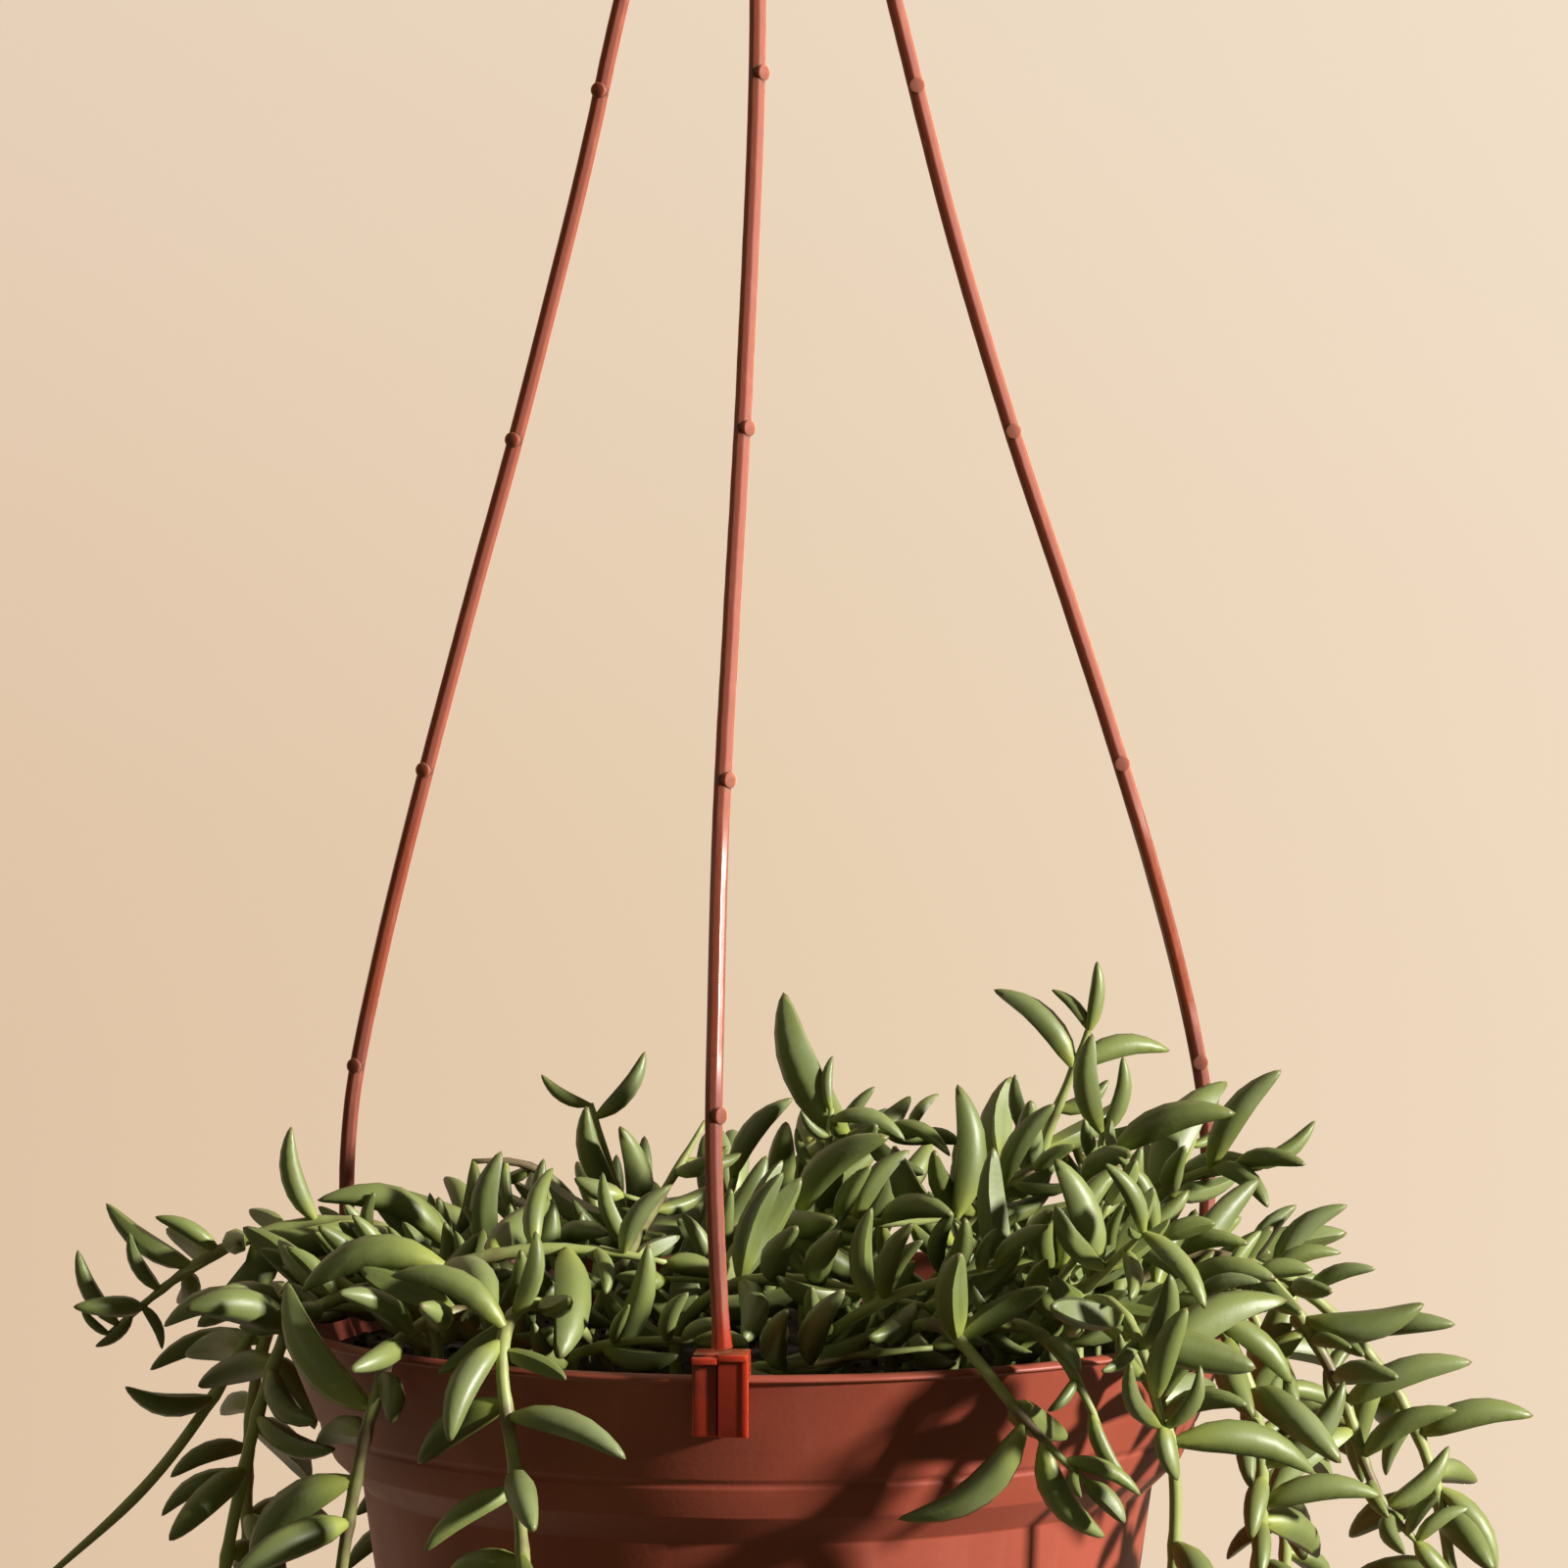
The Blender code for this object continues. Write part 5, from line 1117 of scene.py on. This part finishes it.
FILL_SEED = 18
FILL_STEPS = (2, 4)  # steps of the stem between leaves that fill the mat
FILL_GAP = 0.12
FILL_SIZE = (0.58, 1.0)
FILL_ABOVE = -8.0  # leaves fill in where a stem is above this height,
FRONT = -70.0  # or, in front of this line,
FRONT_ABOVE = 2.0  # above this one,
FILL_SIDE = 75.0  # and right of this line or behind the middle at any height
FILL_BOX = 1.0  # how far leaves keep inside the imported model's box
BUD_LENGTHS = (9.0, 7.0, 5.0)
BUD_WIDTH = 0.36
BUD_BOW = 0.06
NEAR_LEAVES = LEAF_LENGTH[1] + 8  # leaves with their middles further apart can't touch
LEAF_AROUND = 8  # faces round a leaf
LEAF_ALONG = 10
# Along a leaf: (part of its length, part of its greatest girth).
LEAF_FORM = [(0.0, 0.20), (0.04, 0.26), (0.11, 0.52), (0.22, 0.84), (0.36, 0.99), (0.52, 1.0),
             (0.67, 0.90), (0.80, 0.72), (0.90, 0.49), (0.965, 0.26), (1.0, 0.0)]
LEAF_BEND = 0.72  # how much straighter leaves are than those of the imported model
LEAF_PLUMP = (0.82, 1.04)  # the girth of leaves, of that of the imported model's
LEAF_HOOK = 0.02  # how far its point bends on, of its length
LEAF_HOOK_FROM = 0.7  # of its length
LEAF_FLAT = -0.74  # the concave side is flat beyond this part of its half thickness
LEAF_TWIST = 0.5  # radians over its length, at most
LEAF_TWIST_AT = 0.4  # where along it there is none
CREASED = 0.45  # share of leaves with an edge along each side of the flat
CREASE_AT = 3  # faces round from the middle of the round side
STEM_AROUND = 8
KNUCKLE = 0.22  # how much thicker a stem is where a leaf stands
KNUCKLE_HALF = 2.5
STEM_TIP = 0.4  # of its thickness, at its growing end
LEAF_DEEP = (0.072, 0.090, 0.020)
LEAF_GREEN = (0.155, 0.186, 0.047)
LEAF_PALE = (0.205, 0.240, 0.082)
LEAF_BLOOM = (0.210, 0.240, 0.135)
LEAF_YOUNG = (0.270, 0.300, 0.050)
LEAF_POINT = (0.100, 0.042, 0.018)
STEM_GREEN = (0.240, 0.270, 0.085)
STEM_BROWN = (0.120, 0.085, 0.040)


def too_near(one, other, gap):
    """Whether two leaves come nearer than a gap, apart from their necks."""
    if (one[0].lerp(one[1], 0.5) - other[0].lerp(other[1], 0.5)).length > NEAR_LEAVES:
        return False
    balls = leaf_balls(other)[NECK_BALLS:]
    return any((place - spot).length < radius + girth + gap
               for place, radius in leaf_balls(one)[NECK_BALLS:] for spot, girth in balls)


def show_leaves(stems, leaves):
    """The leaves that the plant shows plainly take their places from grown ones in their way."""
    firm = []
    wanted = []
    for name, line in stems.items():
        for at, row in enumerate([*STEMS[name][1], *MORE_SHOWN.get(name, ())]):
            leaf = shown_leaf(line, MOVED.get((name, at), row))
            way = (leaf[1] - leaf[0]).normalized()
            twins = [other for other in leaves[name] if (other[0] - leaf[0]).length < SAME_ROOT
                     and (other[1] - other[0]).normalized().dot(way) > SAME_WAY]
            firm += twins
            if not twins:
                wanted.append((name, leaf))
    for name, leaf in wanted:
        for trial in (smaller(leaf, part) for part in SHOWN_SIZES):
            dry = all(clear_of_pot(place, radius - SHOWN_SPARE)
                      for place, radius in leaf_balls(trial))
            if dry and not any(too_near(trial, other, -SHOWN_SPARE) for other in firm):
                for group in leaves.values():
                    group[:] = [other for other in group if any(other is kept for kept in firm)
                                or not too_near(trial, other, 0)]
                leaves[name].append(trial)
                firm.append(trial)
                break
    return leaves


def fill_leaves(stems, leaves):
    """A bud at each growing end, and more leaves in the mat, at the right-hand side and behind."""
    grid = grid_of(stems, leaves)
    low, high = (corner / MM for corner in cad_box)

    def fits(leaf):
        tip = leaf[1] + Vector((0, 0, -RIM_DROP))
        boxed = all(a + FILL_BOX < b < c - FILL_BOX for a, b, c in zip(low, tip, high))
        return boxed and below_canopy(leaf)

    for name, line in stems.items():
        way = (line[-1] - line[-4]).normalized()
        buds = ((line[-1].copy(), line[-1] + way * length, way.orthogonal(), BUD_BOW,
                 length * BUD_WIDTH) for length in BUD_LENGTHS)
        keep_first(filter(below_canopy, buds), leaves, grid, name, FILL_GAP)
    draw = random.Random(FILL_SEED)
    for name, line in stems.items():
        at = first_step(line)
        while at < len(line):
            x, y, z = line[at]
            wanted = z > (FILL_ABOVE if y > FRONT else FRONT_ABOVE) or x > FILL_SIDE or y > 0
            sizes = (young(line, at) * draw.uniform(*FILL_SIZE)
                     for _ in range(LEAF_TRIES if wanted and not is_bare(name, at) else 0))
            trials = (grown_leaf(line, at, draw.uniform(0, math.tau), draw, size) for size in sizes)
            keep_first(filter(fits, trials), leaves, grid, name, FILL_GAP)
            at += draw.randint(*FILL_STEPS)
    return leaves


def add_leaf(shape, layers, leaf, draw):
    """One leaf: a ball drawn out along its bowed middle line, flat on the hollow side."""
    base, tip, side, bow, width = leaf
    leaf = (base, tip, side, bow * LEAF_BEND, width)
    length = (tip - base).length
    cross = (tip - base).normalized().cross(side).normalized()
    tone = draw.random()
    twist = draw.uniform(-LEAF_TWIST, LEAF_TWIST)
    creased = draw.random() < CREASED
    width *= draw.uniform(*LEAF_PLUMP)
    round_from = {}
    for vert, ring, angle in new_ball(shape, LEAF_AROUND, LEAF_ALONG):
        t, thick = LEAF_FORM[ring]
        round_from[vert] = round(abs(angle) / math.tau * LEAF_AROUND)
        x, y = max(LEAF_FLAT, math.cos(angle)), math.sin(angle)
        turn = twist * (t - LEAF_TWIST_AT)
        x, y = x * math.cos(turn) - y * math.sin(turn), x * math.sin(turn) + y * math.cos(turn)
        hook = max(0.0, t - LEAF_HOOK_FROM) / (1 - LEAF_HOOK_FROM)
        middle = leaf_middle(leaf, t) - side * (LEAF_HOOK * length * hook)
        vert[layers["along"]] = t
        vert[layers["tone"]] = tone
        vert[layers["hollow"]] = 0.5 - 0.5 * math.cos(angle) if 0 < ring < LEAF_ALONG else 0.5
        place = in_frame(middle + (side * x + cross * y) * (width / 2 * thick))
        vert.co = [min(b, max(a, value)) for a, value, b in zip(cad_box[0], place, cad_box[1])]
    for face in faces_of(round_from):
        face.material_index = 1
        face.smooth = True
    for edge in {edge for vert in round_from for edge in vert.link_edges}:
        if creased and all(round_from[vert] == CREASE_AT for vert in edge.verts):
            edge.smooth = False


def add_stem(shape, layers, line, leaves, draw):
    """A stem with a knuckle at each leaf, thinner towards its growing end."""
    girths = []
    for i, point in enumerate(line):
        near = min(((leaf[0] - point).length for leaf in leaves), default=math.inf)
        left = (len(line) - 1 - i) * STEM_STEP
        girths.append((STEM_RADIUS + KNUCKLE * max(0.0, 1 - near / KNUCKLE_HALF))
                      * (STEM_TIP + (1 - STEM_TIP) * min(1.0, left / TIP_ZONE)))
    made = drawn_along(shape, line, Vector((1, 0, 0)), girths, STEM_AROUND)
    tone = draw.random()
    for vert in made:
        vert[layers["tone"]] = tone
    for face in faces_of(made):
        face.smooth = True


green, shader, place = new_finish("leaf_flesh", Specular_IOR_Level=0.42)
along, tone, hollow = (place.reads(name) for name in ("along", "tone", "hollow"))
cloud = place.grain(110.0, 3.0)
fine = place.grain(1300.0, 2.0)
colour = (tone * 0.75 + cloud * 0.5 - 0.12).between(LEAF_DEEP, LEAF_GREEN)
colour = (hollow.rise(0.75, 0.4) * 0.3).between(colour, LEAF_PALE)
window = hollow.rise(0.93, 0.99) * along.rise(0.1, 0.3) * along.rise(0.95, 0.8)
colour = (window * 0.35).between(colour, LEAF_DEEP)
colour = (place.grain(60.0, 2.0).rise(0.45, 0.75) * 0.4).between(colour, LEAF_BLOOM)
colour = (along.rise(0.4, 0.0) * 0.7).between(colour, LEAF_YOUNG)
colour = (along.rise(0.94, 1.0) * (0.1 + tone * 0.6)).between(colour, LEAF_POINT)
colour.feeds(shader["Base Color"])
(0.37 + cloud * 0.18).feeds(shader["Roughness"])
(fine * 0.5 + cloud).relief(0.05 * MM).feeds(shader["Normal"])

bark, shader, place = new_finish("stem_skin", Specular_IOR_Level=0.4)
patch = place.grain(95.0, 3.0)
fine = place.grain(1200.0, 2.0)
brown = (patch * 1.2 + place.reads("tone") * 0.3).rise(0.72, 1.05)
brown.between(STEM_GREEN, STEM_BROWN).feeds(shader["Base Color"])
(0.42 + patch * 0.15).feeds(shader["Roughness"])
(fine + patch).relief(0.03 * MM).feeds(shader["Normal"])

more = {name: smooth_route(STEMS[name][0], STEM_STEP) for name in STEMS if name not in packed}
stems = {**stems, **keep_apart(more, stems)}
leaves = {name: leaves.get(name, []) for name in stems}
leaves = fill_leaves(stems, show_leaves(stems, leaves))
draw = random.Random(FILL_SEED + 1)
for name, line in stems.items():
    shape = bmesh.new()
    layers = {layer: shape.verts.layers.float.new(layer) for layer in ("along", "tone", "hollow")}
    add_stem(shape, layers, line, leaves[name], draw)
    for leaf in leaves[name]:
        add_leaf(shape, layers, sunk_leaf(leaf, line), draw)
    plant = new_piece(name.replace("stem_", "plant_"), shape, bark, green)
    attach(plant, "root")
    if name in packed:
        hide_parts(name)

# The studio: a camera a metre from the pot as in the photograph, one small warm key light from the
# right, a weak fill from the left, a plain pale floor and a backdrop painted brighter to the right and
# towards the top, as painted light.
CAMERA_DISTANCE = 1000.0
CAMERA_HEIGHT = 133.5  # above the rim
CAMERA_SENSOR = 36.0
CAMERA_LENS = 130.8
# For a lens 5814 pixels long: the horizon is 240 pixels above the picture's middle, and the middle
# of the pot is 27 pixels left of it.
CAMERA_DOWN = math.atan(240 / 5814)
CAMERA_RIGHT = math.atan(27 / 5814)
# Each light: degrees round to the right, degrees up, metres away, metres wide, watts and colour.
LIGHTS = {"key": (67, 18.5, 6.0, 0.45, 1080.0, (1.0, 0.97, 0.92)),
          "fill": (-56, 26, 2.2, 0.6, 2.5, (1.0, 0.90, 0.78))}
AMBIENT = (0.116, 0.110, 0.062)  # from the front
BOUNCE = (0.560, 0.430, 0.300)  # and from the lit backdrop
BOUNCE_RISE = (-0.1, 0.5)
BACKDROP_PAINTED_LIGHT = ((0.735, 0.536, 0.372), (0.791, 0.612, 0.430), (0.880, 0.708, 0.535))  # left to right, with painted light: brighter to the right, where the key light falls
BACKDROP_SPREAD = 6.0  # how fast they follow each other as the view's way turns right
# Painted light: the backdrop is painted paler towards the top.
BACKDROP_PAINTED_TOP = (0.930, 0.860, 0.750)
BACKDROP_RISE = (-0.10, 0.14)
FLOOR_HEIGHT = -1.0
FLOOR_RADIUS = 2.8
FLOOR_SOLID = 0.55  # of its radius, inside which it doesn't fade
FLOOR_STEPS = 96
FLOOR_COLOURS = ((0.60, 0.49, 0.37), (0.66, 0.54, 0.41))

lens = bpy.data.cameras.new("camera")
lens.lens = CAMERA_LENS
lens.sensor_width = CAMERA_SENSOR
camera = bpy.data.objects.new("camera", lens)
camera.location = in_frame((0, -CAMERA_DISTANCE, CAMERA_HEIGHT))
camera.rotation_euler = (math.pi / 2 - CAMERA_DOWN, 0, -CAMERA_RIGHT)
bpy.context.scene.collection.objects.link(camera)
bpy.context.scene.camera = camera
bpy.context.scene.view_settings.view_transform = "Standard"

for name, (azimuth, height, distance, size, power, colour) in LIGHTS.items():
    azimuth, height = math.radians(azimuth), math.radians(height)
    way = Vector((math.sin(azimuth) * math.cos(height), -math.cos(azimuth) * math.cos(height),
                  math.sin(height)))
    light = bpy.data.lights.new(name, "AREA")
    light.size = size
    light.energy = power
    light.color = colour
    lamp = bpy.data.objects.new(name, light)
    lamp.location = in_frame((0, 0, 0)) + way * distance
    lamp.rotation_euler = way.to_track_quat("Z", "Y").to_euler()
    bpy.context.scene.collection.objects.link(lamp)

world = bpy.data.worlds.new("studio")
world.use_nodes = True
tree = world.node_tree
way = Wire(tree, tree.nodes.new("ShaderNodeTexCoord").outputs["Generated"])
# The backdrop that the camera sees is painted with light, brighter to the right and towards the top.
across = way.part("X") * BACKDROP_SPREAD + 1.0
painted_backdrop = (across - 1.0).between(across.between(*BACKDROP_PAINTED_LIGHT[:2]), BACKDROP_PAINTED_LIGHT[2])
painted_backdrop = (way.part("Z").rise(*BACKDROP_RISE) * 0.3).between(painted_backdrop, BACKDROP_PAINTED_TOP)
direct = across.node("ShaderNodeLightPath", {}, {}, "Is Camera Ray")
unseen = way.part("Y").rise(*BOUNCE_RISE).between(AMBIENT, BOUNCE)
direct.between(unseen, painted_backdrop).feeds(tree.nodes["Background"].inputs["Color"])
bpy.context.scene.world = world

shape = bmesh.new()
bmesh.ops.create_circle(shape, cap_ends=True, segments=FLOOR_STEPS, radius=FLOOR_RADIUS,
                        matrix=Matrix.Translation((0, 0, FLOOR_HEIGHT)))
pale, shader, place = new_finish("pale_floor", Roughness=0.8, Specular_IOR_Level=0.2)
place.grain(3.0, 3.0).between(*FLOOR_COLOURS).feeds(shader["Base Color"])
flat = place.stretched(1, 1, 0)
away = place.node("ShaderNodeVectorMath", {"operation": "LENGTH"}, {0: flat}, "Value")
away.rise(FLOOR_RADIUS, FLOOR_RADIUS * FLOOR_SOLID).feeds(shader["Alpha"])
studio_floor = new_piece("studio_floor", shape, pale)
studio_floor.visible_diffuse = False
studio_floor.visible_glossy = False
